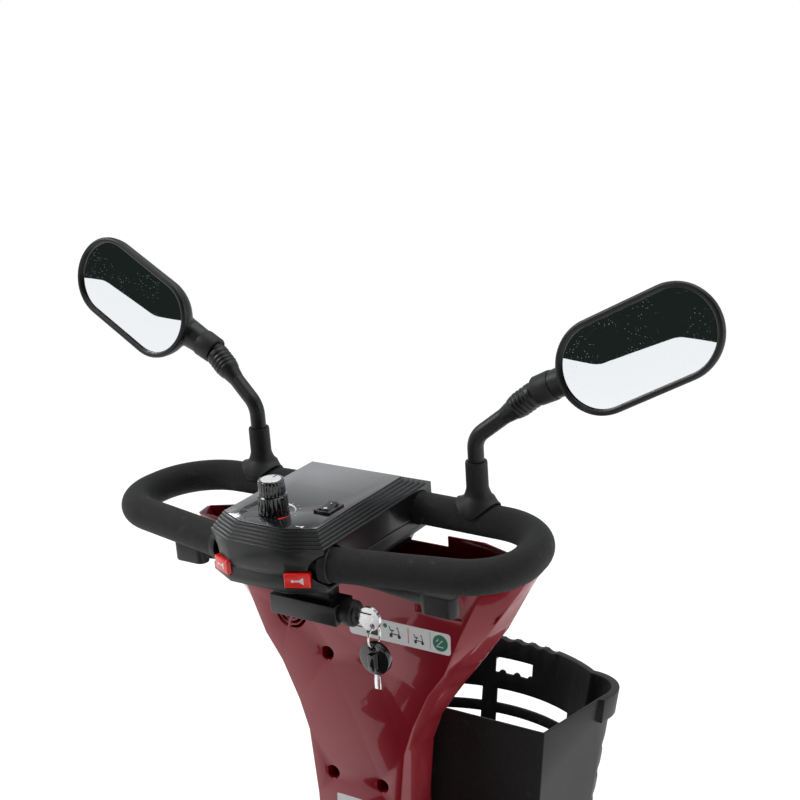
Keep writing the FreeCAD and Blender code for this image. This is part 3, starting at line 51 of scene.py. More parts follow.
nodes = frame["nodes"]
bodyOf = {name: body for body, names in frame["record"]["behaviour"]["bodies"].items() for name in names}
jointOf = {joint["name"]: joint for joint in frame["joints"]}

def plug(tree, socket, value):
    # a Wire is linked, anything else is set on the socket
    if isinstance(value, Wire):
        tree.links.new(value.socket, socket)
    elif isinstance(value, (tuple, list)) and socket.type == "RGBA" and len(value) == 3:
        socket.default_value = (*value, 1)
    else:
        socket.default_value = value

class Wire:
    # a socket that can stand in a sum: each operator adds one Math node
    def __init__(self, tree, socket):
        self.tree = tree
        self.socket = socket

    def sum(self, operation, *terms):
        node = self.tree.nodes.new("ShaderNodeMath")
        node.operation = operation
        for socket, term in zip(node.inputs, terms):
            plug(self.tree, socket, term)
        return Wire(self.tree, node.outputs[0])

    def __add__(self, other):
        return self.sum("ADD", self, other)

    def __radd__(self, other):
        return self.sum("ADD", other, self)

    def __sub__(self, other):
        return self.sum("SUBTRACT", self, other)

    def __rsub__(self, other):
        return self.sum("SUBTRACT", other, self)

    def __mul__(self, other):
        return self.sum("MULTIPLY", self, other)

    def __rmul__(self, other):
        return self.sum("MULTIPLY", other, self)

    def __truediv__(self, other):
        return self.sum("DIVIDE", self, other)

    def __pow__(self, other):
        return self.sum("POWER", self, other)

    def __gt__(self, other):
        return self.sum("GREATER_THAN", self, other)

    def __lt__(self, other):
        return self.sum("LESS_THAN", self, other)

class Tree:
    def __init__(self, tree):
        self.tree = tree

    def node(self, kind, settings=None, sockets=None, output=0):
        node = self.tree.nodes.new(kind)
        for key, value in (settings or {}).items():
            if key == "stops":
                ramp = node.color_ramp
                while len(ramp.elements) < len(value):
                    ramp.elements.new(1)
                for element, (position, colour) in zip(ramp.elements, value):
                    element.position = position
                    element.color = (*colour, 1)
            else:
                setattr(node, key, value)
        for key, value in (sockets or {}).items():
            plug(self.tree, node.inputs[key], value)
        return Wire(self.tree, node.outputs[output])

class Finish(Tree):
    # one material: the shader and the few patterns that every finish here is made of
    def __init__(self, name, **values):
        self.material = bpy.data.materials.new(name)
        self.material.use_nodes = True
        super().__init__(self.material.node_tree)
        self.shader = self.tree.nodes["Principled BSDF"]
        self.at = self.node("ShaderNodeTexCoord", output="Object")
        for key, value in values.items():
            self.set(key, value)

    def set(self, key, value):
        plug(self.tree, self.shader.inputs[key], value)

    def turned(self, scale=(1, 1, 1), turn=(0, 0, 0), move=(0, 0, 0)):
        return self.node("ShaderNodeMapping", {}, {"Vector": self.at, "Scale": scale, "Rotation": turn,
                                                   "Location": move})

    def cloud(self, scale, detail=3, at=None, rough=0.55):
        return self.node("ShaderNodeTexNoise", {}, {"Vector": at or self.at, "Scale": scale,
                                                    "Detail": detail, "Roughness": rough})

    def cells(self, scale, feature="F1", at=None):
        return self.node("ShaderNodeTexVoronoi", {"feature": feature},
                         {"Vector": at or self.at, "Scale": scale})

    def part(self, axis, at=None):
        return self.node("ShaderNodeSeparateXYZ", {}, {"Vector": at or self.at}, output=axis)

    def mix(self, factor, low, high):
        return self.node("ShaderNodeMix", {"data_type": "RGBA"}, {0: factor, 6: low, 7: high}, output=2)

    def ramp(self, factor, stops):
        return self.node("ShaderNodeValToRGB", {"stops": stops}, {"Fac": factor})

    def step(self, value, low, high):
        # 0 below low, 1 above high, smooth between
        return self.node("ShaderNodeMapRange", {"interpolation_type": "SMOOTHSTEP"},
                         {"Value": value, "From Min": low, "From Max": high})

    def bump(self, height, distance, strength=1.0):
        self.set("Normal", self.node("ShaderNodeBump", {}, {"Height": height, "Distance": distance,
                                                            "Strength": strength}))

def shade(colour, amount):
    return tuple(max(0.0, channel * amount) for channel in colour)

def mouldedPlastic(name, colour, rough, grain=900, deep=0.00012, coat=0.0, dusty=0.06, metal=0.0):
    # spark-eroded texture, slow changes of gloss, a little dust in the low places
    finish = Finish(name, **{"Coat Roughness": 0.12, "Metallic": metal, "Coat Weight": coat,
                             "Specular IOR Level": 0.38})
    slow = finish.cloud(14, 4)
    fine = finish.cloud(grain, 2)
    pits = finish.cells(grain * 0.6)
    tone = finish.mix(slow, shade(colour, 0.82), shade(colour, 1.2))
    dust = finish.step(finish.cloud(55, 5), 0.62, 0.8) * dusty
    finish.set("Base Color", finish.mix(dust, tone, (0.32, 0.31, 0.3)))
    finish.set("Roughness", rough - 0.07 + slow * 0.14 + dust * 0.5)
    finish.bump(fine * 0.6 + pits * 0.5, deep)
    return finish.material

def foamGrain(name, colour):
    # closed-cell foam with a leathery skin, scuffed pale where hands and tools rub it
    finish = Finish(name, **{"Sheen Weight": 0.03, "Sheen Roughness": 0.5, "Specular IOR Level": 0.35})
    wobble = finish.node("ShaderNodeTexNoise", {}, {"Vector": finish.at, "Scale": 150.0, "Detail": 2.0},
                         output="Color")
    warped = finish.node("ShaderNodeVectorMath", {"operation": "MULTIPLY_ADD"},
                         {0: wobble, 1: (0.004, 0.004, 0.004), 2: finish.at})
    creases = finish.cells(620, "DISTANCE_TO_EDGE", warped)
    pores = finish.cells(1900)
    slow = finish.cloud(22, 4)
    scuff = finish.step(finish.cloud(85, 6, rough=0.7), 0.56, 0.74) * finish.step(slow, 0.45, 0.62)
    tone = finish.mix(slow, shade(colour, 0.7), shade(colour, 1.35))
    finish.set("Base Color", finish.mix(scuff * 0.38, tone, (0.085, 0.085, 0.09)))
    finish.set("Roughness", 0.62 + slow * 0.12 - scuff * 0.12)
    finish.bump(finish.step(creases, 0.0, 0.22) + pores * 0.35 + scuff * 0.2, 0.00045)
    return finish.material

def pearlShell(name, values):
    # pigment with fine mica under clear lacquer, with a slight orange peel
    finish = Finish(name, **{"Coat Weight": 0.8, "Coat Roughness": 0.05, "Coat IOR": 1.42, "Specular IOR Level": 0.3})
    slow = finish.cloud(3.2, 2)
    mica = finish.cells(2600)
    glint = finish.step(mica, 0.16, 0.05)
    tone = finish.mix(slow, values["deep"], values["bright"])
    finish.set("Base Color", finish.mix(glint * 0.5, tone, values["mica"]))
    finish.set("Metallic", 0.2 + glint * 0.3)
    finish.set("Roughness", 0.33 + slow * 0.08 - glint * 0.06)
    finish.bump(finish.cloud(160, 2), 0.00006)
    return finish.material

def brushedMetal(name, colour, rough, scratch=(40, 900, 900), wear=0.1, metal=1.0, deep=0.00003):
    finish = Finish(name)
    lines = finish.cloud(1.0, 4, finish.turned(scratch))
    slow = finish.cloud(30, 4)
    stain = finish.step(finish.cloud(70, 5), 0.58, 0.8) * wear
    tone = finish.mix(lines, shade(colour, 0.82), shade(colour, 1.12))
    finish.set("Base Color", finish.mix(stain, tone, (0.14, 0.11, 0.09)))
    finish.set("Metallic", metal - stain * 0.5)
    finish.set("Roughness", rough + lines * 0.12 + slow * 0.08 + stain)
    finish.bump(lines + slow * 0.4, deep)
    return finish.material

def powderCoat(name, colour, rough=0.45):
    # baked paint: tiny even bumps, chips that show the primer
    finish = Finish(name, **{"Coat Roughness": 0.2, "Coat Weight": 0.25})
    bumps = finish.cloud(1100, 2)
    slow = finish.cloud(18, 4)
    chip = finish.step(finish.cells(38), 0.075, 0.05) * finish.step(finish.cloud(26, 4), 0.55, 0.62)
    tone = finish.mix(slow, shade(colour, 0.8), shade(colour, 1.25))
    finish.set("Base Color", finish.mix(chip, tone, (0.2, 0.19, 0.18)))
    finish.set("Roughness", rough + slow * 0.12 + chip * 0.25)
    finish.bump(bumps * 0.4 - chip, 0.0001)
    return finish.material

def tyreRubber(name, colour):
    finish = Finish(name, **{"Sheen Weight": 0.06})
    slow = finish.cloud(26, 5)
    fine = finish.cloud(1400, 2)
    dust = finish.step(finish.cloud(60, 6, rough=0.7), 0.5, 0.78)
    tone = finish.mix(slow, shade(colour, 0.75), shade(colour, 1.3))
    finish.set("Base Color", finish.mix(dust * 0.3, tone, (0.16, 0.15, 0.14)))
    finish.set("Roughness", 0.72 + slow * 0.14 + dust * 0.08)
    finish.bump(fine * 0.5 + dust * 0.4, 0.00012)
    return finish.material

def grainedVinyl(name, colour):
    # pebble-grained upholstery with fine creases, painted shade darkening the crevices between the pebbles, and a
    # polished look on its high places
    finish = Finish(name, **{"Coat Roughness": 0.35, "Coat Weight": 0.12, "Sheen Weight": 0.05})
    wobble = finish.node("ShaderNodeTexNoise", {}, {"Vector": finish.at, "Scale": 60.0, "Detail": 2.0},
                         output="Color")
    warped = finish.node("ShaderNodeVectorMath", {"operation": "MULTIPLY_ADD"},
                         {0: wobble, 1: (0.006, 0.006, 0.006), 2: finish.at})
    pebbles = finish.cells(430, "DISTANCE_TO_EDGE", warped)
    small = finish.cells(1300)
    folds = finish.cloud(9, 5, finish.turned((1, 2.2, 1)), rough=0.6)
    slow = finish.cloud(7, 3)
    tone = finish.mix(slow, shade(colour, 0.78), shade(colour, 1.25))
    # painted shade: the crevices between the pebbles are darkened to 0.45 of the colour
    finish.set("Base Color", finish.mix(finish.step(pebbles, 0.0, 0.12), shade(colour, 0.45), tone))
    finish.set("Roughness", 0.5 + slow * 0.12 - finish.step(pebbles, 0.1, 0.4) * 0.1)
    finish.bump(finish.step(pebbles, 0.0, 0.2) + small * 0.25 + folds * 2.2, 0.0005)
    return finish.material

def clearLens(name, colour, emission=0.0, rough=0.08, pitch=320):
    # moulded lens with prisms behind a smooth face
    finish = Finish(name, **{"Coat Weight": 0.8, "Coat Roughness": 0.05, "Emission Strength": emission})
    prism = finish.node("ShaderNodeTexWave", {"bands_direction": "X"},
                        {"Vector": finish.at, "Scale": pitch / 6, "Distortion": 0.0}, output="Fac")
    slow = finish.cloud(40, 3)
    tone = finish.mix(prism, shade(colour, 0.5), shade(colour, 1.15))
    finish.set("Base Color", finish.mix(slow * 0.2, tone, shade(colour, 1.4)))
    finish.set("Emission Color", tone)
    finish.set("Roughness", rough + slow * 0.08)
    finish.bump(prism, 0.0004)
    return finish.material

def mirrorGlass(name, values):
    # silvered glass with specks of dust and dried drops
    finish = Finish(name, **{"Coat Weight": 0.5, "Coat Roughness": 0.02})
    specks = finish.step(finish.cells(values["speckScale"]), values["speckSize"], values["speckSize"] * 0.4)
    patches = finish.step(finish.cloud(30, 5), 0.42, 0.62)
    dirt = specks * patches
    film = finish.step(finish.cloud(12, 5), 0.5, 0.8)
    finish.set("Base Color", finish.mix(dirt, values["silver"], values["speck"]))
    finish.set("Metallic", 1.0 - dirt * 0.8)
    finish.set("Roughness", 0.015 + film * 0.03 + dirt * 0.5)
    return finish.material

def printInk(name, colour, rough=0.45):
    finish = Finish(name)
    slow = finish.cloud(300, 3)
    finish.set("Base Color", finish.mix(slow, shade(colour, 0.88), shade(colour, 1.05)))
    finish.set("Roughness", rough + slow * 0.15)
    finish.bump(finish.cloud(2500, 2), 0.00002)
    return finish.material

def overlayGloss(name, values):
    # a printed film behind a smooth window: the display's pane is a little greyer than its surround
    finish = Finish(name, **{"Coat Weight": 1.0, "Coat Roughness": 0.03, "Coat IOR": 1.6})
    east = finish.part(0)
    north = finish.part(1)
    x0, x1, y0, y1 = values["window"]
    soft = 0.0008
    inside = (finish.step(east, x0 - soft, x0 + soft) * (1 - finish.step(east, x1 - soft, x1 + soft))
              * finish.step(north, y0 - soft, y0 + soft) * (1 - finish.step(north, y1 - soft, y1 + soft)))
    slow = finish.cloud(20, 3)
    tone = finish.mix(slow, shade(values["black"], 0.85), shade(values["black"], 1.2))
    finish.set("Base Color", finish.mix(inside, tone, values["pane"]))
    finish.set("Roughness", 0.22 + slow * 0.05 + inside * 0.06)
    finish.bump(finish.cloud(60, 2), 0.00003)
    return finish.material

def boardGreen(name):
    finish = Finish(name, **{"Coat Weight": 0.4})
    tracks = finish.node("ShaderNodeTexBrick", {}, {"Vector": finish.turned((1, 1, 1)), "Scale": 90.0,
                                                    "Color1": (0.02, 0.16, 0.06, 1), "Color2": (0.03, 0.22, 0.08, 1),
                                                    "Mortar": (0.25, 0.2, 0.06, 1), "Mortar Size": 0.03})
    finish.set("Base Color", tracks)
    finish.set("Roughness", 0.35 + finish.cloud(50, 3) * 0.2)
    finish.bump(finish.cloud(700, 2), 0.00008)
    return finish.material

def ribbedRubber(name, colour):
    finish = Finish(name)
    slow = finish.cloud(12, 5)
    scuff = finish.step(finish.cloud(40, 6, finish.turned((1, 0.35, 1)), rough=0.7), 0.55, 0.75)
    tone = finish.mix(slow, shade(colour, 0.8), shade(colour, 1.2))
    finish.set("Base Color", finish.mix(scuff * 0.3, tone, (0.14, 0.14, 0.14)))
    finish.set("Roughness", 0.68 + slow * 0.16)
    finish.bump(finish.cloud(1000, 2) + scuff * 0.4, 0.00018)
    return finish.material

finishes = {
    "foam": foamGrain("closedCellFoam", (0.006, 0.006, 0.0066)),
    "console": mouldedPlastic("consolePlastic", (0.0075, 0.008, 0.009), 0.34, grain=1100, deep=0.00007, coat=0.15),
    "overlay": None,
    "knob": mouldedPlastic("knobGloss", (0.006, 0.006, 0.006), 0.12, grain=200, deep=0.00002, coat=0.8, dusty=0.02),
    "mirrorShell": mouldedPlastic("mirrorPlastic", (0.006, 0.0063, 0.007), 0.42, grain=1300, deep=0.0001),
    "boot": mouldedPlastic("bootRubber", (0.007, 0.0073, 0.008), 0.55, grain=900, deep=0.0001),
    "basket": mouldedPlastic("basketPlastic", (0.0045, 0.0047, 0.005), 0.48, grain=700, deep=0.00016),
    "dark": mouldedPlastic("darkPlastic", (0.012, 0.012, 0.013), 0.45),
    "tub": mouldedPlastic("batteryCase", (0.03, 0.032, 0.036), 0.5, grain=500),
    "rocker": mouldedPlastic("rockerPlastic", (0.008, 0.008, 0.009), 0.25, coat=0.3),
    "horn": mouldedPlastic("hornRed", (0.86, 0.018, 0.012), 0.3, grain=500, deep=0.00004, coat=0.35, dusty=0.01),
    "shell": pearlShell("wineShell", {"deep": (0.19, 0.0006, 0.009), "bright": (0.29, 0.0012, 0.014),
                                      "mica": (0.55, 0.05, 0.07)}),
    "frame": powderCoat("frameCoat", (0.012, 0.012, 0.013)),
    "zinc": brushedMetal("zincSteel", (0.62, 0.62, 0.6), 0.26),
    "chrome": brushedMetal("nickelWire", (0.82, 0.82, 0.82), 0.1, wear=0.04),
    "alloy": brushedMetal("castAlloy", (0.58, 0.59, 0.6), 0.34, scratch=(300, 300, 300), wear=0.06, metal=0.85),
    "tyre": tyreRubber("tyreRubber", (0.02, 0.02, 0.021)),
    "mat": ribbedRubber("matRubber", (0.022, 0.022, 0.024)),
    "vinyl": grainedVinyl("seatVinyl", (0.016, 0.016, 0.018)),
    "tail": clearLens("tailLens", (0.55, 0.008, 0.01), 0.25),
    "head": clearLens("headLens", (0.75, 0.77, 0.8), 0.15),
    "glass": mirrorGlass("mirrorGlass", {"silver": (0.86, 0.88, 0.9), "speck": (0.75, 0.77, 0.78),
                                         "speckScale": 420, "speckSize": 0.16}),
    "white": printInk("whitePrint", (0.82, 0.82, 0.82)),
    "redInk": printInk("redPrint", (0.7, 0.02, 0.02)),
    "blackInk": printInk("blackPrint", (0.02, 0.02, 0.022)),
    "greenInk": printInk("greenPrint", (0.01, 0.17, 0.10)),
    "cap": brushedMetal("knobCap", (0.86, 0.86, 0.87), 0.3, scratch=(500, 500, 500), wear=0.02, metal=0.6),
    "board": boardGreen("boardGreen"),
}
finishes["overlay"] = overlayGloss("overlayGloss", {"window": (-0.044, 0.042, 0.187, 0.229),
                                                    "black": (0.006, 0.0065, 0.008), "pane": (0.032, 0.030, 0.030)})

nodeFinish = {
    "chassis_frame": "frame", "transaxle": "alloy", "floor_deck": "dark", "deck_mat": "mat",
    "front_cover": "shell", "front_bumper": "dark", "headlight": "head", "rear_cover": "shell",
    "battery_pack": "tub", "tail_lamps": "tail", "anti_tip_bar": "frame", "seat_post": "frame",
    "steering_column": "frame", "tie_rod": "zinc", "tiller_tube": "frame", "handlebar": "frame",
    "foam_grips": "foam", "console_base": "console", "console_cover": "console", "display_panel": "overlay",
    "circuit_board": "board", "rocker_bezel": "rocker", "lock_barrel": "dark", "mirror_mounts": "boot",
    "shroud_rear": "shell", "shroud_front": "shell", "shroud_screws": "frame", "speed_knob": "knob",
    "power_rocker": "rocker", "throttle_lever": "dark", "key": "chrome", "key_ring": "chrome",
    "spare_key": "chrome", "basket": "basket", "seat_frame": "frame", "seat_cushion": "vinyl",
    "backrest_frame": "frame", "backrest_cushion": "vinyl",
}
for side, sign in sides:
    nodeFinish.update({f"knuckle_{side}": "frame", f"rim_front_{side}": "alloy", f"tyre_front_{side}": "tyre",
                       f"rim_rear_{side}": "alloy", f"tyre_rear_{side}": "tyre", f"half_shaft_{side}": "zinc",
                       f"horn_button_{side}": "horn", f"mirror_stem_{side}": "mirrorShell",
                       f"mirror_head_{side}": "mirrorShell", f"mirror_glass_{side}": "glass",
                       f"armrest_{side}": "vinyl"})
for name, key in nodeFinish.items():
    nodes[name].data.materials.clear()
    nodes[name].data.materials.append(finishes[key])
print("finishes are set on", len(nodeFinish), "nodes")

loop = {"base": (0, 0.26947, 0.90024), "rake": math.radians(7)}
loopUp = Vector((0, -math.sin(loop["rake"]), math.cos(loop["rake"])))
loopAhead = Vector((0, math.cos(loop["rake"]), math.sin(loop["rake"])))

def loopSpot(x, v, w):
    # a place given along the handlebar's own plane: to the right, ahead and up
    return Vector(loop["base"]) + Vector((x, 0, 0)) + loopAhead * v + loopUp * w

def loopFrame(x=0, v=0, w=0):
    turn = Matrix.Rotation(loop["rake"], 4, "X")
    return Matrix.Translation(loopSpot(x, v, w)) @ turn

def asPiece(name, mesh, body, finish, slot=None, stands=(), smooth=35):
    # links a finished mesh, shades it and makes it ride on its body
    piece = bpy.data.objects.new(name, mesh)
    bpy.context.scene.collection.objects.link(piece)
    mesh.materials.clear()
    mesh.materials.append(finishes[finish])
    if smooth:
        mesh.polygons.foreach_set("use_smooth", [True] * len(mesh.polygons))
        mesh.set_sharp_from_angle(angle=math.radians(smooth))
    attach(piece, body)
    if stands:
        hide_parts(*stands)
    return piece

def fromBmesh(name, bm, body, finish, recalc=True, **more):
    if recalc:
        bmesh.ops.remove_doubles(bm, verts=bm.verts, dist=1e-6)
        bmesh.ops.recalc_face_normals(bm, faces=bm.faces)
    mesh = bpy.data.meshes.new(name)
    bm.to_mesh(mesh)
    bm.free()
    return asPiece(name, mesh, body, finish, **more)

def skin(rings, closed=False, caps=True):
    # faces between rings of points, each ring closed
    bm = bmesh.new()
    loops = [[bm.verts.new(point) for point in ring] for ring in rings]
    pairs = list(zip(loops, loops[1:])) + ([(loops[-1], loops[0])] if closed else [])
    for low, high in pairs:
        count = len(low)
        for index in range(count):
            after = (index + 1) % count
            bm.faces.new((low[index], low[after], high[after], high[index]))
    if caps and not closed:
        bm.faces.new(loops[0][::-1])
        bm.faces.new(loops[-1])
    bmesh.ops.recalc_face_normals(bm, faces=bm.faces)
    return bm

def lathe(profile, place, count=48, closed=False):
    # radius and height pairs turned about the local Z of a matrix
    turns = [2 * math.pi * index / count for index in range(count)]
    rings = [[place @ Vector((radius * math.cos(turn), radius * math.sin(turn), height)) for turn in turns]
             for radius, height in profile]
    return skin(rings, closed)

def facing(origin, way, side=(1, 0, 0)):
    # a matrix whose Z looks along way
    up = Vector(way).normalized()
    across = Vector(side) - up * up.dot(Vector(side))
    across.normalize()
    return Matrix.Translation(origin) @ Matrix((across, up.cross(across), up)).transposed().to_4x4()

def roundedBlock(size, edge, place, segments=3):
    bm = bmesh.new()
    bmesh.ops.create_cube(bm, size=1, matrix=Matrix.Diagonal((*size, 1)))
    bmesh.ops.bevel(bm, geom=bm.edges[:], offset=edge, segments=segments, profile=0.5, affect="EDGES")
    bm.transform(place)
    return bm

def plate(outline, thick, place, edge=0.0, segments=2):
    # a flat outline in local XY with its thickness along local Z, its rim rounded on the far side
    bm = bmesh.new()
    low = [bm.verts.new((x, y, 0)) for x, y in outline]
    base = bm.faces.new(low)
    grown = bmesh.ops.extrude_face_region(bm, geom=[base])
    top = [v for v in grown["geom"] if isinstance(v, bmesh.types.BMVert)]
    bmesh.ops.translate(bm, verts=top, vec=(0, 0, thick))
    bmesh.ops.recalc_face_normals(bm, faces=bm.faces)
    if edge:
        rim = [e for e in bm.edges if all(v in top for v in e.verts)]
        bmesh.ops.bevel(bm, geom=rim, offset=edge, segments=segments, profile=0.5, affect="EDGES")
    bm.transform(place)
    return bm

def merge(*parts):
    # several bmeshes into the first
    first = parts[0]
    for part in parts[1:]:
        mesh = bpy.data.meshes.new("merge")
        part.to_mesh(mesh)
        part.free()
        first.from_mesh(mesh)
        bpy.data.meshes.remove(mesh)
    return first

def softened(name, width, angle=28, segments=2, flat=1.2, keep=None):
    # a copy of a CAD node with its facets joined and its sharp edges rounded
    bm = bmesh.new()
    bm.from_mesh(nodes[name].data)
    bmesh.ops.remove_doubles(bm, verts=bm.verts, dist=2e-5)
    bmesh.ops.dissolve_limit(bm, angle_limit=math.radians(flat), verts=bm.verts, edges=bm.edges)
    if keep:
        gone = [v for v in bm.verts if not keep(v.co)]
        bmesh.ops.delete(bm, geom=gone, context="VERTS")
    sharp = [e for e in bm.edges if e.is_manifold and e.calc_face_angle(0) > math.radians(angle)]
    if width:
        bmesh.ops.bevel(bm, geom=sharp, offset=width, segments=segments, profile=0.5, affect="EDGES",
                        clamp_overlap=False)
    bmesh.ops.triangulate(bm, faces=[f for f in bm.faces if len(f.verts) > 4])
    return bm

def softNode(name, finish, width, slot=None, body=None, smooth=35, **more):
    bm = softened(name, width, **more)
    return fromBmesh(name + "Soft", bm, body or bodyOf[name], finish, recalc=False, slot=slot,
                     stands=(name,), smooth=smooth)

class Shape(Tree):
    # a geometry tree with named inputs, run once on a piece and turned to a plain mesh
    def __init__(self, name, inputs):
        tree = bpy.data.node_groups.new(name, "GeometryNodeTree")
        super().__init__(tree)
        tree.interface.new_socket("Geometry", in_out="INPUT", socket_type="NodeSocketGeometry")
        for label, kind in inputs:
            tree.interface.new_socket(label, in_out="INPUT", socket_type="NodeSocket" + kind)
        tree.interface.new_socket("Geometry", in_out="OUTPUT", socket_type="NodeSocketGeometry")
        self.start = tree.nodes.new("NodeGroupInput")
        self.end = tree.nodes.new("NodeGroupOutput")

    def given(self, label):
        return Wire(self.tree, self.start.outputs[label])

    def named(self, attribute, kind="FLOAT_VECTOR"):
        return self.node("GeometryNodeInputNamedAttribute", {"data_type": kind}, {"Name": attribute})

    def finishWith(self, geometry):
        real = self.node("GeometryNodeRealizeInstances", {}, {"Geometry": geometry})
        painted = self.node("GeometryNodeSetMaterial", {}, {"Geometry": real,
                                                            "Material": self.given("Finish")})
        plug(self.tree, self.end.inputs["Geometry"], painted)

    def run(self, mesh, values):
        # the plain mesh that the tree makes from a start mesh and its inputs
        carrier = bpy.data.objects.new("carrier", mesh)
        bpy.context.scene.collection.objects.link(carrier)
        modifier = carrier.modifiers.new("nodes", "NODES")
        modifier.node_group = self.tree
        for item in self.tree.interface.items_tree:
            if item.in_out == "INPUT" and item.name in values:
                modifier[item.identifier] = values[item.name]
        bpy.context.view_layer.update()
        graph = bpy.context.evaluated_depsgraph_get()
        made = bpy.data.meshes.new_from_object(carrier.evaluated_get(graph))
        carrier.modifiers.remove(modifier)
        bpy.data.objects.remove(carrier)
        return made

def markedPoints(rows):
    # start points for scattering: place, the way the part faces, the way its X lies
    mesh = bpy.data.meshes.new("points")
    mesh.from_pydata([tuple(spot) for spot, way, along in rows], [], [])
    for label, column in (("facing", 1), ("along", 2)):
        data = mesh.attributes.new(label, "FLOAT_VECTOR", "POINT")
        data.data.foreach_set("vector", [value for row in rows for value in Vector(row[column])])
    return mesh

def scatterTree():
    # one part at every marked point, turned to face its way
    shape = Shape("scatterParts", (("Part", "Object"), ("Size", "Float"), ("Turn Jitter", "Float"),
                                   ("Seed", "Int"), ("Finish", "Material")))
    source = shape.node("GeometryNodeObjectInfo", {}, {"Object": shape.given("Part")}, output="Geometry")
    looks = shape.node("FunctionNodeAlignRotationToVector", {"axis": "Z"},
                       {"Vector": shape.named("facing")})
    turned = shape.node("FunctionNodeAlignRotationToVector", {"axis": "X", "pivot_axis": "Z"},
                        {"Rotation": looks, "Vector": shape.named("along")})
    jitter = shape.node("FunctionNodeRandomValue", {"data_type": "FLOAT"},
                        {"Min": 0.0, "Max": 1.0, "Seed": shape.given("Seed")}, output=1)
    spin = shape.node("ShaderNodeCombineXYZ", {}, {"Z": jitter * shape.given("Turn Jitter")})
    spun = shape.node("FunctionNodeRotateRotation", {"rotation_space": "LOCAL"},
                      {"Rotation": turned, "Rotate By": spin})
    scale = shape.node("ShaderNodeCombineXYZ", {}, {"X": shape.given("Size"), "Y": shape.given("Size"),
                                                    "Z": shape.given("Size")})
    placed = shape.node("GeometryNodeInstanceOnPoints", {},
                        {"Points": shape.given("Geometry"), "Instance": source, "Rotation": spun,
                         "Scale": scale})
    shape.finishWith(placed)
    return shape

def scatter(name, part, rows, body, finish, size=1.0, jitter=0.0, seed=3, slot=None, stands=(), smooth=35):
    # part is a bmesh about the origin, facing +Z
    mesh = bpy.data.meshes.new("part")
    part.to_mesh(mesh)
    part.free()
    mesh.polygons.foreach_set("use_smooth", [True] * len(mesh.polygons))
    carried = bpy.data.objects.new("part", mesh)
    bpy.context.scene.collection.objects.link(carried)
    made = trees["scatter"].run(markedPoints(rows), {"Part": carried, "Size": size, "Turn Jitter": jitter,
                                                     "Seed": seed, "Finish": finishes[finish]})
    bpy.data.objects.remove(carried)
    bpy.data.meshes.remove(mesh)
    return asPiece(name, made, body, finish, slot=slot, stands=stands, smooth=smooth)

trees = {"scatter": scatterTree()}

softNode("console_cover", "console", 0.00045, slot="black_plastic")
softNode("console_base", "console", 0.0006, slot="black_plastic")
softNode("display_panel", "overlay", 0.0003, slot="panel_gloss")
softNode("rocker_bezel", "rocker", 0.0005, slot="gloss_black")
softNode("power_rocker", "rocker", 0.0006, slot="gloss_black")
softNode("lock_barrel", "dark", 0.0008, slot="black_plastic")
softNode("throttle_lever", "dark", 0.0014, slot="black_plastic")
for side, sign in sides:
    softNode(f"horn_button_{side}", "horn", 0.0012, slot="red_button", segments=3)

signs = {"top": 0.0397, "thick": 0.00012}
hornSign = ((-6, -0.7), (-4.6, -1.6), (-3.4, -0.7), (1.5, -0.8), (3.6, -2.4), (5.6, -3.6), (5.6, 3.6),
            (3.6, 2.4), (1.5, 0.8), (-3.4, 0.7), (-4.6, 1.6), (-6, 0.7))

def arcBand(inner, outer, start, end, count=18):
    # a flat crescent: full width at its end and a point at its start
    turns = [math.radians(start + (end - start) * index / count) for index in range(count + 1)]
    grow = [index / count for index in range(count + 1)]
    middle = (inner + outer) / 2
    half = (outer - inner) / 2
    out = [((middle + half * g) * math.cos(t), (middle + half * g) * math.sin(t)) for t, g in zip(turns, grow)]
    back = [((middle - half * g * 0.98) * math.cos(t), (middle - half * g * 0.98) * math.sin(t))
            for t, g in zip(turns, grow)]
    return out + back[:0:-1]

def scaled(outline, size, shift=(0, 0), turn=0.0):
    c, s = math.cos(turn), math.sin(turn)
    return [(shift[0] + size * (x * c - y * s), shift[1] + size * (x * s + y * c)) for x, y in outline]

def disc(radius, count=28, shift=(0, 0)):
    return [(shift[0] + radius * math.cos(2 * math.pi * index / count),
             shift[1] + radius * math.sin(2 * math.pi * index / count)) for index in range(count)]

def panelPrints():
    flat = loopFrame(0, 0, signs["top"])
    knob = loopFrame(-0.008, -0.155, signs["top"])
    thick = signs["thick"]
    white = [plate(arcBand(0.0205, 0.0245, 5, 100), thick, knob),
             plate(scaled(hornSign, 0.00072, (-0.038, -0.176), 2.7), thick, flat),
             plate(scaled(hornSign, 0.00072, (0.041, -0.177), 0.1), thick, flat)]
    for tick in range(7):
        turn = math.radians(120 - 20 * tick)
        mark = [(-0.0004, 0.0262), (0.0004, 0.0262), (0.0004, 0.0282), (-0.0004, 0.0282)]
        white.append(plate(scaled(mark, 1, turn=turn - math.pi / 2), thick, knob))
    fromBmesh("panelPrintWhite", merge(*white), "tiller", "white", smooth=0)
    red = [plate(arcBand(0.0200, 0.0238, 2, -42), thick, knob)]
    for spot in ((0.0265, -0.134), (0.0555, -0.116)):
        red.append(plate(scaled([(-1, -0.8), (1, -0.8), (0, 1.1)], 0.0015, spot), thick, flat))
    fromBmesh("panelPrintRed", merge(*red), "tiller", "redInk", smooth=0)

def rockerMarks():
    level = signs["top"] + 0.0034
    white = [plate([(-0.0004, -0.0017), (0.0004, -0.0017), (0.0004, 0.0017), (-0.0004, 0.0017)],
                   0.00035, loopFrame(0.041, -0.1205, level + 0.0008))]
    ring = plate(disc(0.0019), 0.00035, loopFrame(0.041, -0.1318, level - 0.0004))
    white.append(ring)
    fromBmesh("rockerMarks", merge(*white), "power_rocker", "white", smooth=0)

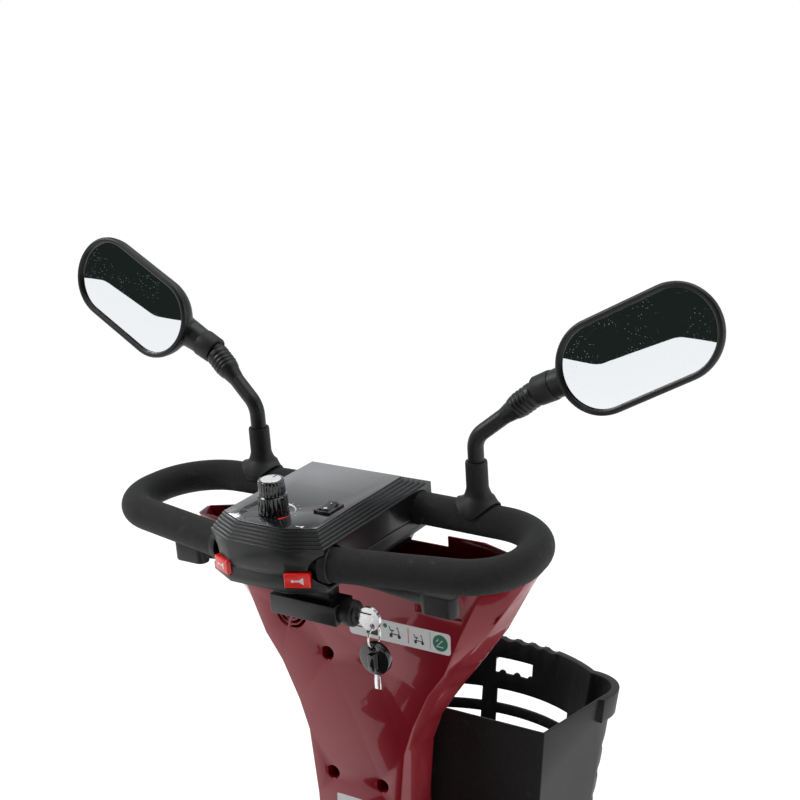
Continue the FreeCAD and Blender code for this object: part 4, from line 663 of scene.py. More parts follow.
def hornSigns():
    # the pictogram on each button
    for side, sign in sides:
        low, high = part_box(f"horn_button_{side}")
        turn = math.radians(23) * sign
        out = Vector((0, 0, 0)) - loopAhead * math.cos(turn) + Vector((math.sin(turn), 0, 0))
        across = Vector((math.cos(turn), 0, 0)) + loopAhead * math.sin(turn)
        middle = (low + high) / 2
        place = Matrix((across, loopUp, out)).transposed().to_4x4()
        half = 0.0055
        place = Matrix.Translation(middle + out * half) @ place
        sizes = {"sign": 0.0011, "lift": 0.00012}
        drawn = plate(scaled(hornSign, sizes["sign"], (0.0005 * sign, 0)), sizes["lift"], place)
        fromBmesh(f"hornSign_{side}", drawn, f"horn_{side}", "white", smooth=0)

def knobPiece():
    # two fluted steps, a bevelled rim and a bright cap
    knob = {"x": -0.008, "v": -0.155, "base": 0.0400, "high": 0.036, "skirt": 0.0160, "grip": 0.0143,
            "flutes": 22, "deep": 0.0007, "cap": 0.0108}
    place = loopFrame(knob["x"], knob["v"], knob["base"])
    count = knob["flutes"] * 8
    step = knob["high"] * 0.55
    profile = [(knob["skirt"] - 0.001, 0, 0), (knob["skirt"], 0.0012, 1), (knob["skirt"] - 0.0004, step - 0.0022, 1),
               (knob["skirt"] - 0.0006, step - 0.0012, 0), (knob["skirt"] - 0.0022, step, 0),
               (knob["grip"] - 0.0006, step + 0.0004, 0), (knob["grip"], step + 0.0016, 1),
               (knob["grip"] - 0.0004, knob["high"] - 0.0016, 1), (knob["grip"] - 0.0012, knob["high"] - 0.0004, 0),
               (knob["grip"] - 0.0024, knob["high"], 0), (knob["cap"] + 0.0004, knob["high"], 0),
               (knob["cap"] + 0.0003, knob["high"] - 0.0012, 0)]
    rings = []
    for radius, height, fluted in profile:
        ring = []
        for index in range(count):
            turn = 2 * math.pi * index / count
            dent = knob["deep"] * fluted * max(0.0, math.cos(knob["flutes"] * turn)) ** 2
            ring.append(place @ Vector(((radius - dent) * math.cos(turn), (radius - dent) * math.sin(turn), height)))
        rings.append(ring)
    fromBmesh("speedKnob", skin(rings), "speed_knob", "knob", stands=("speed_knob",), slot="gloss_black", smooth=40)
    cap = lathe([(knob["cap"], knob["high"] - 0.0014), (knob["cap"], knob["high"] + 0.0001),
                 (knob["cap"] - 0.0006, knob["high"] + 0.0005), (0.004, knob["high"] + 0.0005)], place, 56)
    fromBmesh("knobCap", cap, "speed_knob", "cap", smooth=30)
    dot = plate([(-0.0008, 0.004), (0.0008, 0.004), (0.0008, 0.0100), (-0.0008, 0.0100)], 0.0002,
                place @ Matrix.Translation((0, 0, knob["high"] + 0.0005)))
    fromBmesh("knobMark", dot, "speed_knob", "blackInk", smooth=0)

def gripCollars():
    # a soft sleeve where each foam grip enters the console
    rings = []
    for side, sign in sides:
        for start, slope, radius in ((-0.182, 0.051 / 0.252, 0.0195), (0.0, -0.007 / 0.238, 0.0192)):
            way = Vector((sign, 0, 0)) + loopAhead * slope
            spot = loopSpot(sign * 0.066, start + slope * 0.066, 0)
            rings.append(lathe([(radius - 0.0025, -0.004), (radius + 0.0008, -0.004), (radius + 0.0012, 0.001),
                                (radius + 0.0002, 0.0045), (radius - 0.0012, 0.0055), (radius - 0.0025, 0.005)],
                               facing(spot, way, (0, 0, 1)), 40, closed=True))
    fromBmesh("gripCollars", merge(*rings), "tiller", "boot", slot="rubber")

panelPrints()
rockerMarks()
hornSigns()
knobPiece()
gripCollars()
print("console is finished")

mirror = {"head": (0.328, -0.006, 0.199), "long": 0.184, "tall": 0.098, "tilt": 28, "face": 12,
          "ball": (0.215, 0.017, 0.145), "foot": (0.145, 0.0), "stem": 0.0088, "bend": 0.090, "rim": 0.0062}

def headPlace(sign):
    # the head's own frame: local X along its length, Y across, Z ahead; turned up about the ball
    ball = loopSpot(sign * mirror["ball"][0], mirror["ball"][1], mirror["ball"][2])
    turn = Matrix.Rotation(-math.radians(mirror["face"]), 4, "X")
    centre = loopFrame(sign * mirror["head"][0], mirror["head"][1], mirror["head"][2])
    lean = Matrix.Rotation(-sign * math.radians(mirror["tilt"]), 4, "Y")
    upright = Matrix(((sign, 0, 0, 0), (0, 0, 1, 0), (0, 1, 0, 0), (0, 0, 0, 1)))
    return Matrix.Translation(ball) @ turn @ Matrix.Translation(-ball) @ centre @ lean @ upright

def stadiumPoint(turn, inset):
    # a point of a rounded bar outline, spread evenly by angle
    radius = mirror["tall"] / 2 - inset
    straight = (mirror["long"] - mirror["tall"]) / 2
    share = straight / (straight + radius * math.pi / 2)
    u = (turn / (2 * math.pi)) % 1.0
    quarter = u * 4
    index, local = int(quarter) % 4, quarter % 1.0
    if index in (1, 3):
        local = 1 - local
    if local < 1 - share:
        angle = local / (1 - share) * math.pi / 2
        x, y = straight + radius * math.cos(angle), radius * math.sin(angle)
    else:
        x, y = straight * (1 - (local - (1 - share)) / share), radius
    return (x if index in (0, 3) else -x), (y if index in (0, 1) else -y)

def mirrorRings(profile, place, count=112):
    rings = []
    for inset, depth in profile:
        ring = []
        for index in range(count):
            x, y = stadiumPoint(2 * math.pi * (index + 0.5) / count, inset)
            deep = depth if depth < 0.006 else depth * (1 - 0.22 * (x / mirror["long"] + 0.5))
            ring.append(place @ Vector((x, y, deep)))
        rings.append(ring)
    return rings

def remeshed(bm, voxel, smooth):
    # one skin round several shapes, its joins blended
    mesh = bpy.data.meshes.new("lump")
    bm.to_mesh(mesh)
    bm.free()
    carrier = bpy.data.objects.new("lump", mesh)
    bpy.context.scene.collection.objects.link(carrier)
    remesh = carrier.modifiers.new("remesh", "REMESH")
    remesh.mode = "VOXEL"
    remesh.voxel_size = voxel
    relax = carrier.modifiers.new("relax", "SMOOTH")
    relax.iterations = smooth
    relax.factor = 0.5
    bpy.context.view_layer.update()
    made = bpy.data.meshes.new_from_object(carrier.evaluated_get(bpy.context.evaluated_depsgraph_get()))
    bpy.data.objects.remove(carrier)
    bpy.data.meshes.remove(mesh)
    return made

def mirrorHead(side, sign):
    place = headPlace(sign)
    inset = mirror["rim"]
    lip = [(inset + 0.0006, 0.0052), (inset, 0.0006), (inset - 0.0012, -0.0006), (inset - 0.0034, -0.0009),
           (0.0012, -0.0002), (0.0001, 0.0014), (0, 0.0046), (0.0016, 0.0049)]
    fromBmesh(f"mirrorRim_{side}", skin(mirrorRings(lip, place), closed=True), f"mirror_{side}", "mirrorShell",
              slot="black_plastic", smooth=50)
    back = [(inset + 0.004, 0.0056), (0.001, 0.0048), (0.0004, 0.009), (0.002, 0.0155), (0.0065, 0.0225),
            (0.0135, 0.0285), (0.023, 0.033), (0.034, 0.0358), (0.045, 0.0368)]
    shell = skin(mirrorRings(back, place))
    ball = loopSpot(sign * mirror["ball"][0], mirror["ball"][1], mirror["ball"][2])
    middle = place @ Vector((0, 0, 0.016))
    way = (middle - ball).normalized()
    neck = lathe([(0.0118, 0.010), (0.0142, 0.010), (0.0152, 0.020), (0.0162, 0.034), (0.0172, 0.052), (0.0165, 0.066),
                  (0.010, 0.078)], facing(ball, way, (0, 1, 0)), 40)
    made = remeshed(merge(shell, neck), 0.0016, 7)
    asPiece(f"mirrorShell_{side}", made, f"mirror_{side}", "mirrorShell", slot="black_plastic",
            stands=(f"mirror_head_{side}",), smooth=0)
    made.polygons.foreach_set("use_smooth", [True] * len(made.polygons))
    cuff = lathe([(0.0136, -0.002), (0.0150, -0.003), (0.0158, -0.0015), (0.0163, 0.016), (0.0158, 0.0185),
                  (0.0145, 0.0190), (0.0125, 0.0185)], facing(ball, way, (0, 1, 0)), 56)
    fromBmesh(f"mirrorCuff_{side}", cuff, f"mirror_{side}", "boot", slot="rubber", smooth=45)
    dome = []
    for index in range(13):
        share = index / 12
        edge = inset + 0.0006 + share * (mirror["tall"] / 2 - inset - 0.0016)
        dome.append((edge, 0.0030 - 0.0021 * math.sin(share * math.pi / 2)))
    rings = [[place @ Vector((*stadiumPoint(2 * math.pi * (i + 0.5) / 112, edge), deep)) for i in range(112)]
             for edge, deep in [(inset + 0.0006, 0.0046)] + dome]
    fromBmesh(f"mirrorGlass_{side}", skin(rings), f"mirror_{side}", "glass", stands=(f"mirror_glass_{side}",),
              slot="mirror", smooth=40)

def mirrorStem(side, sign):
    # the crank widens into a boot with ridges under the ball
    low = loopSpot(sign * mirror["foot"][0], 0, 0.027)
    bend = loopSpot(sign * mirror["foot"][0], 0, mirror["bend"])
    ball = loopSpot(sign * mirror["ball"][0], mirror["ball"][1], mirror["ball"][2])
    first, second = (bend - low).normalized(), (ball - bend).normalized()
    angle = first.angle(second)
    radius = 0.024
    run = radius * math.tan(angle / 2)
    spots = [low.lerp(bend - first * run, share / 5) for share in range(6)]
    inward = (second - first * first.dot(second)).normalized()
    centre = bend - first * run + inward * radius
    for share in range(1, 9):
        swept = angle * share / 8
        spots.append(centre - inward * radius * math.cos(swept) + first * radius * math.sin(swept))
    start = spots[-1]
    total = (ball - start).length
    for share in range(1, 61):
        spots.append(start + (ball - start) * share / 60)
    rings = []
    for index, spot in enumerate(spots):
        ahead = (spots[min(index + 1, len(spots) - 1)] - spots[max(index - 1, 0)]).normalized()
        gap = (ball - spot).length if index >= len(spots) - 60 else total
        swell = 0.0042 * max(0.0, min(1.0, (0.050 - gap) / 0.022)) ** 1.2
        ridge = 0.0
        if 0.010 < gap < 0.030:
            ridge = 0.0011 * math.sin((gap - 0.010) / 0.020 * math.pi * 8)
        step = 0.0006 if gap < 0.036 else 0.0
        size = min(mirror["stem"] + swell + ridge + step, 0.0138)
        if gap < 0.006:
            size *= 0.85
        frameAt = facing(spot, ahead, (0, 1, 0))
        turns = [2 * math.pi * turn / 36 for turn in range(36)]
        rings.append([frameAt @ Vector((size * math.cos(turn), size * math.sin(turn), 0)) for turn in turns])
    fromBmesh(f"mirrorStem_{side}", skin(rings), f"mirror_stem_{side}", "mirrorShell",
              stands=(f"mirror_stem_{side}",), slot="black_plastic", smooth=60)

def mirrorFeet():
    # a rubber skirt that sits over the round grip, and the collar above it
    parts = []
    for side, sign in sides:
        x = sign * mirror["foot"][0]
        rings = []
        for radius, lift, share in ((0.0135, 0, 1), (0.0236, 0.0002, 1), (0.0240, 0.0016, 1), (0.0222, 0.0040, 0.9),
                                    (0.0182, 0.0226, 0), (0.0156, 0.0250, 0), (0.0142, 0.0278, 0),
                                    (0.0134, 0.0300, 0), (0.0126, 0.0325, 0), (0.0121, 0.0350, 0), (0.0120, 0.062, 0),
                                    (0.0116, 0.0638, 0), (0.0100, 0.0640, 0), (0.0089, 0.0636, 0), (0.0089, 0.030, 0)):
            ring = []
            for index in range(64):
                turn = 2 * math.pi * index / 64
                east, north = radius * math.cos(turn), radius * math.sin(turn)
                reach = min(abs(north + 0.0043), 0.0186)
                saddle = math.sqrt(max(0.0196 ** 2 - reach ** 2, 0.0))
                level = share * (saddle + lift) + (1 - share) * lift
                ring.append(loopSpot(x + east, north, level))
            rings.append(ring)
        parts.append(skin(rings, closed=True))
    fromBmesh("mirrorFeet", merge(*parts), "tiller", "boot", stands=("mirror_mounts",), slot="rubber", smooth=50)

for side, sign in sides:
    mirrorHead(side, sign)
    mirrorStem(side, sign)
mirrorFeet()
print("mirrors are finished")

softNode("shroud_rear", "shell", 0.0012, slot="red_cover", angle=32)
softNode("shroud_front", "shell", 0.0012, slot="red_cover", angle=32)
softNode("front_cover", "shell", 0.0022, slot="red_cover", angle=32)
softNode("rear_cover", "shell", 0.0022, slot="red_cover", angle=32)
softNode("basket", "basket", 0.0007, slot="black_plastic", angle=34)
softNode("front_bumper", "dark", 0.0022, slot="black_plastic")
softNode("floor_deck", "dark", 0.0015, slot="black_plastic")
softNode("battery_pack", "tub", 0.0015, slot="battery")
print("covers and basket are finished")

label = {"left": -0.001, "right": 0.131, "low": -0.145, "high": -0.120, "round": 0.004, "thick": 0.00018}

def roundedOutline(left, right, low, high, radius, count=6):
    spots = []
    for cx, cy, start in ((right - radius, high - radius, 0), (left + radius, high - radius, 90),
                          (left + radius, low + radius, 180), (right - radius, low + radius, 270)):
        for index in range(count + 1):
            turn = math.radians(start + 90 * index / count)
            spots.append((cx + radius * math.cos(turn), cy + radius * math.sin(turn)))
    return spots

def tillerBack(level):
    # where the rear shroud's back face stands at a level of the tiller's frame
    return -0.045 - (-0.042 - level) * 0.059

def labelPlace(lift):
    low, high = [loopSpot(0, tillerBack(label[end]), label[end]) for end in ("low", "high")]
    up = (high - low).normalized()
    out = Vector((1, 0, 0)).cross(up) * 1.0
    if out.y > 0:
        out = -out
    across = up.cross(out)
    middle = (low + high) / 2
    return Matrix.Translation(middle + out * lift) @ Matrix((across, up, out)).transposed().to_4x4()

def scooterSign(size, shift):
    # a small pictogram: deck, tiller, seat and two wheels
    strokes = [roundedOutline(-5.5, 4.5, -1.6, -0.6, 0.3, 2), [(3.6, -0.8), (4.6, -0.8), (3.0, 5.0), (2.2, 5.0)],
               roundedOutline(-5.2, -1.0, 1.4, 2.6, 0.4, 2), [(-5.4, 2.0), (-4.4, 2.0), (-5.6, 5.4), (-6.4, 5.2)],
               [(-3.8, -0.7), (-2.8, -0.7), (-2.8, 1.6), (-3.8, 1.6)],
               disc(1.7, 16, (-4.2, -2.8)), disc(1.7, 16, (4.0, -2.8)), [(1.2, 4.6), (3.2, 5.2), (3.0, 5.8), (1.0, 5.2)]]
    return [scaled(stroke, size, shift) for stroke in strokes]

def makeLabel():
    half = (label["high"] - label["low"]) / 2
    sheet = plate(roundedOutline(label["left"], label["right"], -half, half, label["round"]), label["thick"],
                  labelPlace(0.00005))
    fromBmesh("labelSheet", sheet, "tiller", "white", smooth=0)
    inks = {"blackInk": [roundedOutline(0.022, 0.037, -0.0082, 0.0082, 0.001, 3)]
            + scooterSign(0.0013, (0.060, -0.0005)) + scooterSign(0.0011, (0.091, -0.002)),
            "greenInk": [disc(0.0026, 24, (0.047, 0.0062)), disc(0.0095, 40, (0.118, 0))],
            "redInk": [roundedOutline(0.0765, 0.0775, -0.009, 0.009, 0.0004, 2)]}
    inks["blackInk"] += [roundedOutline(0.105, 0.1054, -0.010, 0.010, 0.0001, 2),
                         roundedOutline(0.006, 0.018, 0.002, 0.0035, 0.0005, 2),
                         roundedOutline(0.006, 0.018, -0.0025, -0.001, 0.0005, 2)]
    for ink, outlines in inks.items():
        parts = [plate(outline, 0.00004, labelPlace(label["thick"] + 0.00009)) for outline in outlines]
        fromBmesh(f"labelPrint_{ink}", merge(*parts), "tiller", ink, smooth=0)
    marks = [plate(scaled(stroke, 0.0009, (0.1175, 0)), 0.00004, labelPlace(label["thick"] + 0.00016))
             for stroke in ([(-4, -4), (-3, -4), (4, 3.5), (3, 4)], [(-4.5, 1), (-1.5, 4.5), (-2.5, 5), (-5, 2)],
                            roundedOutline(-5, 5, -5.6, -4.6, 0.4, 2))]
    fromBmesh("labelPrintRound", merge(*marks), "tiller", "white", smooth=0)
    small = plate(roundedOutline(-0.030, 0.006, -0.012, 0.012, 0.002), 0.00015,
                  labelPlace(0.00005) @ Matrix.Translation((0, -0.232, 0)))
    fromBmesh("labelSmall", small, "tiller", "white", smooth=0)

makeLabel()
print("label is on")

def ringOfPoints(count, radius, centre, axis=(1, 0, 0), phase=0.0):
    # marked points round an axis along X, each facing outwards
    rows = []
    for index in range(count):
        turn = 2 * math.pi * index / count + phase
        out = Vector((0, math.cos(turn), math.sin(turn)))
        rows.append((Vector(centre) + out * radius, out, Vector(axis)))
    return rows

wheel = {"blocks": 44, "valveIn": 0.016, "valveOut": 0.058}

def treadBlock(long, wide, tall, slant):
    bm = roundedBlock((long, wide, tall), 0.0006, Matrix.Identity(4), segments=1)
    for vert in bm.verts:
        vert.co.y += vert.co.x * slant
        if vert.co.z > 0:
            vert.co.x *= 0.9
    return bm

def makeTread():
    for place in ("front", "rear"):
        for side, _ in sides:
            low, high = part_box(f"tyre_{place}_{side}")
            centre = (low + high) / 2
            radius = (high.z - low.z) / 2
            body = bodyOf[f"tyre_{place}_{side}"]
            for row, (shift, slant) in enumerate(((-0.0085, 0.5), (0.0085, -0.5))):
                rows = ringOfPoints(wheel["blocks"], radius - 0.0021, (centre.x + shift, centre.y, centre.z),
                                    phase=row * math.pi / wheel["blocks"])
                scatter(f"tread_{place}_{side}_{row}", treadBlock(0.0125, 0.0085, 0.0036, slant), rows, body, "tyre",
                        slot="tyre", smooth=30)
            for row, shift in enumerate((-0.0205, 0.0205)):
                rows = []
                for spot, out, along in ringOfPoints(wheel["blocks"], radius - 0.0078,
                                                     (centre.x + shift, centre.y, centre.z)):
                    lean = (out + Vector((math.copysign(0.75, shift), 0, 0))).normalized()
                    rows.append((spot, lean, along - lean * along.dot(lean)))
                scatter(f"shoulder_{place}_{side}_{row}", treadBlock(0.0100, 0.0062, 0.0034, 0.0), rows, body, "tyre",
                        slot="tyre", smooth=30)

def makeValves():
    for place in ("front", "rear"):
        for side, sign in sides:
            low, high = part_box(f"rim_{place}_{side}")
            centre = (low + high) / 2
            body = bodyOf[f"rim_{place}_{side}"]
            face = high.x if sign > 0 else low.x
            profile = [(0.0034, -0.004), (0.0034, 0.004), (0.0026, 0.005), (0.0026, 0.012), (0.0038, 0.0122),
                       (0.0038, 0.018), (0.0028, 0.019)]
            valve = lathe(profile,
                          facing((face - sign * wheel["valveIn"], centre.y, centre.z + wheel["valveOut"]),
                                 (sign, 0, -0.15), (0, 1, 0)), 18)
            fromBmesh(f"valve_{place}_{side}", valve, body, "dark", smooth=40)

makeTread()
makeValves()
print("wheels are finished")

mat = {"pitch": 0.0105, "rib": 0.0040, "tall": 0.0016, "edge": 0.012}

def makeMat():
    low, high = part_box("deck_mat")
    top = high.z
    rows = []
    count = int((high.y - low.y - 2 * mat["edge"]) / mat["pitch"])
    columns = 6
    wide = (high.x - low.x - 2 * mat["edge"]) / columns
    for column in range(columns):
        for row in range(count + 1):
            spot = Vector((low.x + mat["edge"] + wide * (column + 0.5), low.y + mat["edge"] + mat["pitch"] * row,
                           top - 0.0003))
            rows.append((spot, Vector((0, 0, 1)), Vector((1, 0, 0))))
    scatter("matRibs", roundedBlock((wide - 0.008, mat["rib"], mat["tall"]), 0.0006, Matrix.Identity(4), 1), rows,
            "chassis", "mat", slot="rubber")

makeMat()
print("mat is ribbed")

def swollen(mesh, limit, pressure=4.0, frames=20, voxel=0.006):
    # puffs a closed shape up with cloth, each point moving no further than the limit
    carrier = bpy.data.objects.new("cushion", mesh)
    bpy.context.scene.collection.objects.link(carrier)
    remesh = carrier.modifiers.new("remesh", "REMESH")
    remesh.mode = "VOXEL"
    remesh.voxel_size = voxel
    bpy.context.view_layer.update()
    start = bpy.data.meshes.new_from_object(carrier.evaluated_get(bpy.context.evaluated_depsgraph_get()))
    bpy.data.objects.remove(carrier)
    cushion = bpy.data.objects.new("cushion", start)
    bpy.context.scene.collection.objects.link(cushion)
    cloth = cushion.modifiers.new("cloth", "CLOTH")
    cloth.settings.use_pressure = True
    cloth.settings.uniform_pressure_force = pressure
    cloth.settings.effector_weights.gravity = 0
    cloth.settings.quality = 5
    cloth.settings.tension_stiffness = 30
    cloth.settings.compression_stiffness = 30
    cloth.settings.bending_stiffness = 2.0
    cloth.settings.mass = 0.35
    cloth.point_cache.frame_start = 1
    cloth.point_cache.frame_end = frames
    scene = bpy.context.scene
    for frameNumber in range(1, frames + 1):
        scene.frame_set(frameNumber)
    puffed = bpy.data.meshes.new_from_object(cushion.evaluated_get(bpy.context.evaluated_depsgraph_get()))
    for before, after in zip(start.vertices, puffed.vertices):
        moved = after.co - before.co
        if moved.length > limit:
            after.co = before.co + moved * (limit / moved.length)
    scene.frame_set(1)
    bpy.data.objects.remove(cushion)
    return puffed

def subdivided(mesh, levels=1, smooth=2):
    carrier = bpy.data.objects.new("finer", mesh)
    bpy.context.scene.collection.objects.link(carrier)
    relax = carrier.modifiers.new("relax", "SMOOTH")
    relax.iterations = smooth
    relax.factor = 0.5
    finer = carrier.modifiers.new("finer", "SUBSURF")
    finer.levels = levels
    finer.render_levels = levels
    bpy.context.view_layer.update()
    made = bpy.data.meshes.new_from_object(carrier.evaluated_get(bpy.context.evaluated_depsgraph_get()))
    bpy.data.objects.remove(carrier)
    return made

def cushionBlock(low, high, round, crown):
    # a block with rounded plan corners and a soft upper edge
    wide, deep, tall = [(b - a) for a, b in zip(low, high)]
    centre = [(a + b) / 2 for a, b in zip(low, high)]
    outline = roundedOutline(-wide / 2, wide / 2, -deep / 2, deep / 2, round, 8)
    body = plate(outline, tall, Matrix.Translation((0, 0, -tall / 2)), edge=min(crown, tall * 0.35), segments=4)
    body.transform(Matrix.Translation(centre))
    mesh = bpy.data.meshes.new("cushionStart")
    body.to_mesh(mesh)
    body.free()
    return mesh

seat = {"inset": 0.016, "swell": 0.024, "pressure": 4.0, "channel": 0.006, "channels": (-0.085, 0.085)}
back = {"inset": 0.014, "swell": 0.022, "pressure": 4.0, "channel": 0.006, "channels": (-0.075, 0.075)}

def dented(mesh, spots, axis, amount, width, front):
    # presses sewn channels into one face of a cushion
    for vert in mesh.vertices:
        for spot in spots:
            gap = abs(vert.co[axis] - spot)
            if gap < width:
                normal = vert.normal
                share = max(0.0, normal.dot(front))
                vert.co -= Vector(front) * amount * share * (1 - (gap / width) ** 2) ** 2
    mesh.update()

def kept(mesh, low, high):
    for vert in mesh.vertices:
        vert.co = Vector([min(max(value, a), b) for value, a, b in zip(vert.co, low, high)])
    mesh.update()

def pipingRing(low, high, round, level, radius):
    # a sewn bead round a cushion's edge
    outline = roundedOutline(low[0], high[0], low[1], high[1], round, 8)
    finer = []
    for index, (x, y) in enumerate(outline):
        nx, ny = outline[(index + 1) % len(outline)]
        steps = max(1, int(math.hypot(nx - x, ny - y) / 0.008))
        finer += [(x + (nx - x) * step / steps, y + (ny - y) * step / steps) for step in range(steps)]
    rings = []
    for index, (x, y) in enumerate(finer):
        before, after = finer[index - 1], finer[(index + 1) % len(finer)]
        along = Vector((after[0] - before[0], after[1] - before[1], 0)).normalized()
        out = Vector((along.y, -along.x, 0))
        rings.append([Vector((x, y, level)) + out * radius * math.cos(2 * math.pi * turn / 10)
                      + Vector((0, 0, 1)) * radius * math.sin(2 * math.pi * turn / 10) for turn in range(10)])
    return skin(rings, closed=True)

def makeSeat():
    low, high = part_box("seat_cushion")
    inset = seat["inset"]
    start = cushionBlock((low.x + inset, low.y + inset, low.z + 0.004),
                         (high.x - inset, high.y - inset, high.z - seat["swell"] * 0.85), 0.055, 0.020)
    mesh = swollen(start, seat["swell"], seat["pressure"])
    mesh = subdivided(mesh, 1)
    dented(mesh, seat["channels"], 0, seat["channel"], 0.010, Vector((0, 0, 1)))
    kept(mesh, low + Vector((0.001, 0.001, 0)), high - Vector((0.001, 0.001, 0.001)))
    piece = asPiece("seatCushion", mesh, "seat", "vinyl", slot="vinyl_pad", stands=("seat_cushion",), smooth=0)
    mesh.polygons.foreach_set("use_smooth", [True] * len(mesh.polygons))

def makeBack():
    low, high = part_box("backrest_cushion")
    inset = back["inset"]
    wide, tall = high.x - low.x - 2 * inset, high.z - low.z - 2 * inset
    deep = high.y - low.y - 0.018
    outline = roundedOutline(-wide / 2, wide / 2, -tall / 2, tall / 2, 0.06, 8)
    centre = (low + high) / 2
    place = Matrix.Translation((centre.x, low.y + 0.004 + deep, centre.z)) @ Matrix.Rotation(math.pi / 2, 4, "X")
    body = plate(outline, deep, place, edge=0.014, segments=4)
    mesh = bpy.data.meshes.new("backStart")
    body.to_mesh(mesh)
    body.free()
    mesh = subdivided(swollen(mesh, back["swell"], back["pressure"]), 1)
    dented(mesh, back["channels"], 0, back["channel"], 0.010, Vector((0, 1, 0)))
    kept(mesh, low + Vector((0.001, 0.0, 0.001)), high - Vector((0.001, 0.001, 0.001)))
    piece = asPiece("backCushion", mesh, "backrest", "vinyl", slot="vinyl_pad", stands=("backrest_cushion",),
                    smooth=0)
    mesh.polygons.foreach_set("use_smooth", [True] * len(mesh.polygons))

armPad = {"front": -0.190, "rear": -0.452, "low": 0.710, "high": 0.738, "swell": 0.006}

def makeArms():
    for side, _ in sides:
        low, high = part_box(f"armrest_{side}")
        bar = softened(f"armrest_{side}", 0.0008, keep=lambda co: co.z < armPad["low"] + 0.0004)
        bmesh.ops.holes_fill(bar, edges=[e for e in bar.edges if e.is_boundary], sides=0)
        bmesh.ops.triangulate(bar, faces=[f for f in bar.faces if len(f.verts) > 4])
        fromBmesh(f"armBar_{side}", bar, f"armrest_{side}", "frame", recalc=True, slot="frame_steel", smooth=35)
        inset = armPad["swell"] * 0.8
        start = cushionBlock((low.x + inset, armPad["rear"] + inset, armPad["low"] + 0.001),
                             (high.x - inset, armPad["front"] - inset, armPad["high"] - inset), 0.018, 0.008)
        mesh = subdivided(swollen(start, armPad["swell"], 4.0, voxel=0.004), 1)
        kept(mesh, Vector((low.x + 0.0005, armPad["rear"] + 0.0005, armPad["low"])),
             Vector((high.x - 0.0005, armPad["front"] - 0.0005, armPad["high"] - 0.0005)))
        pad = asPiece(f"armPad_{side}", mesh, f"armrest_{side}", "vinyl", slot="vinyl_pad",
                      stands=(f"armrest_{side}",), smooth=0)
        mesh.polygons.foreach_set("use_smooth", [True] * len(mesh.polygons))

makeSeat()
makeBack()
makeArms()
print("cushions are made")

def halfOf(name, spot, way, width=0.0005):
    # the part of a softened node on the far side of a plane, closed where it was cut
    bm = softened(name, width)
    bmesh.ops.bisect_plane(bm, geom=bm.verts[:] + bm.edges[:] + bm.faces[:], plane_co=spot, plane_no=way,
                           clear_inner=True)
    bmesh.ops.holes_fill(bm, edges=[e for e in bm.edges if e.is_boundary], sides=0)
    bmesh.ops.triangulate(bm, faces=[f for f in bm.faces if len(f.verts) > 4])
    return bm

spareKey = {"x": 0.097, "v": -0.142, "blade": 0.018}

def makeSpareKey():
    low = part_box("spare_key")[0]
    lift = (low.z - loop["base"][2] - spareKey["v"] * math.sin(loop["rake"])) / math.cos(loop["rake"])
    spot = loopSpot(spareKey["x"], spareKey["v"], lift + spareKey["blade"])
    fromBmesh("spareKeyHead", halfOf("spare_key", spot, loopUp), "spare_key", "knob", stands=("spare_key",),
              slot="black_plastic", smooth=35)
    fromBmesh("spareKeyBlade", halfOf("spare_key", spot, -loopUp, 0.0003), "spare_key", "chrome",
              stands=("spare_key",), slot="steel", smooth=35)

makeSpareKey()

screw = {"radius": 0.0042, "tall": 0.0024}

def domedScrew(radius, tall):
    # a plain domed head
    return lathe([(radius, 0), (radius, tall * 0.45), (radius * 0.86, tall * 0.8), (radius * 0.55, tall * 0.97),
                (radius * 0.2, tall)], Matrix.Identity(4), 24)

def makeScrews():
    # along the deck's edges and on the bumper
    low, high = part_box("floor_deck")
    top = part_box("deck_mat")[0].z
    rows = [(Vector((x, y, top + 0.0001)), Vector((0, 0, 1)), Vector((1, 0, 0)))
            for x in (low.x + 0.008, high.x - 0.008) for y in (low.y + 0.03, (low.y + high.y) / 2, high.y - 0.03)]
    scatter("deckScrews", domedScrew(screw["radius"], screw["tall"]), rows, "chassis", "zinc", jitter=3.0,
            slot="steel")
    low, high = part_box("front_bumper")
    rows = [(Vector((x, high.y - 0.0024, (low.z + high.z) / 2)), Vector((0, 1, 0)), Vector((1, 0, 0)))
            for x in (-0.11, 0.11)]
    scatter("bumperScrews", domedScrew(0.005, 0.0022), rows, "chassis", "frame", jitter=3.0, slot="frame_steel")

makeScrews()

piping = {"radius": 0.0028}

def makePiping():
    low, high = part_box("seat_cushion")
    inset = 0.010
    level = low.z + 0.030
    bead = pipingRing((low.x + inset - 0.004, low.y + inset - 0.004),
                      (high.x - inset + 0.004, high.y - inset + 0.004),
                      0.056, level, piping["radius"])
    fromBmesh("seatPiping", bead, "seat", "vinyl", slot="vinyl_pad", smooth=60)

makePiping()
print("keys, screws and piping are made")

studio = {"floorSize": 90, "pale": (0.3, 0.3, 0.3), "glow": 0.93, "bright": 1.0, 
          "ahead": (0.62, 0.64, 0.66), "behind": (0.012, 0.017, 0.015), "top": (0.10, 0.10, 0.105)}

def makeStage():
    half = studio["floorSize"] / 2
    bm = bmesh.new()
    bmesh.ops.create_grid(bm, x_segments=1, y_segments=1, size=half)
    mesh = bpy.data.meshes.new("floor")
    bm.to_mesh(mesh)
    bm.free()
    floor = bpy.data.objects.new("floor", mesh)
    bpy.context.scene.collection.objects.link(floor)
    pale = Finish("floorPale", **{"Roughness": 0.9, "Specular IOR Level": 0.05, "Emission Color": (1, 1, 1),
                                  "Emission Strength": studio["glow"]})
    pale.set("Base Color", pale.mix(pale.cloud(3, 2), shade(studio["pale"], 0.98), studio["pale"]))
    mesh.materials.append(pale.material)

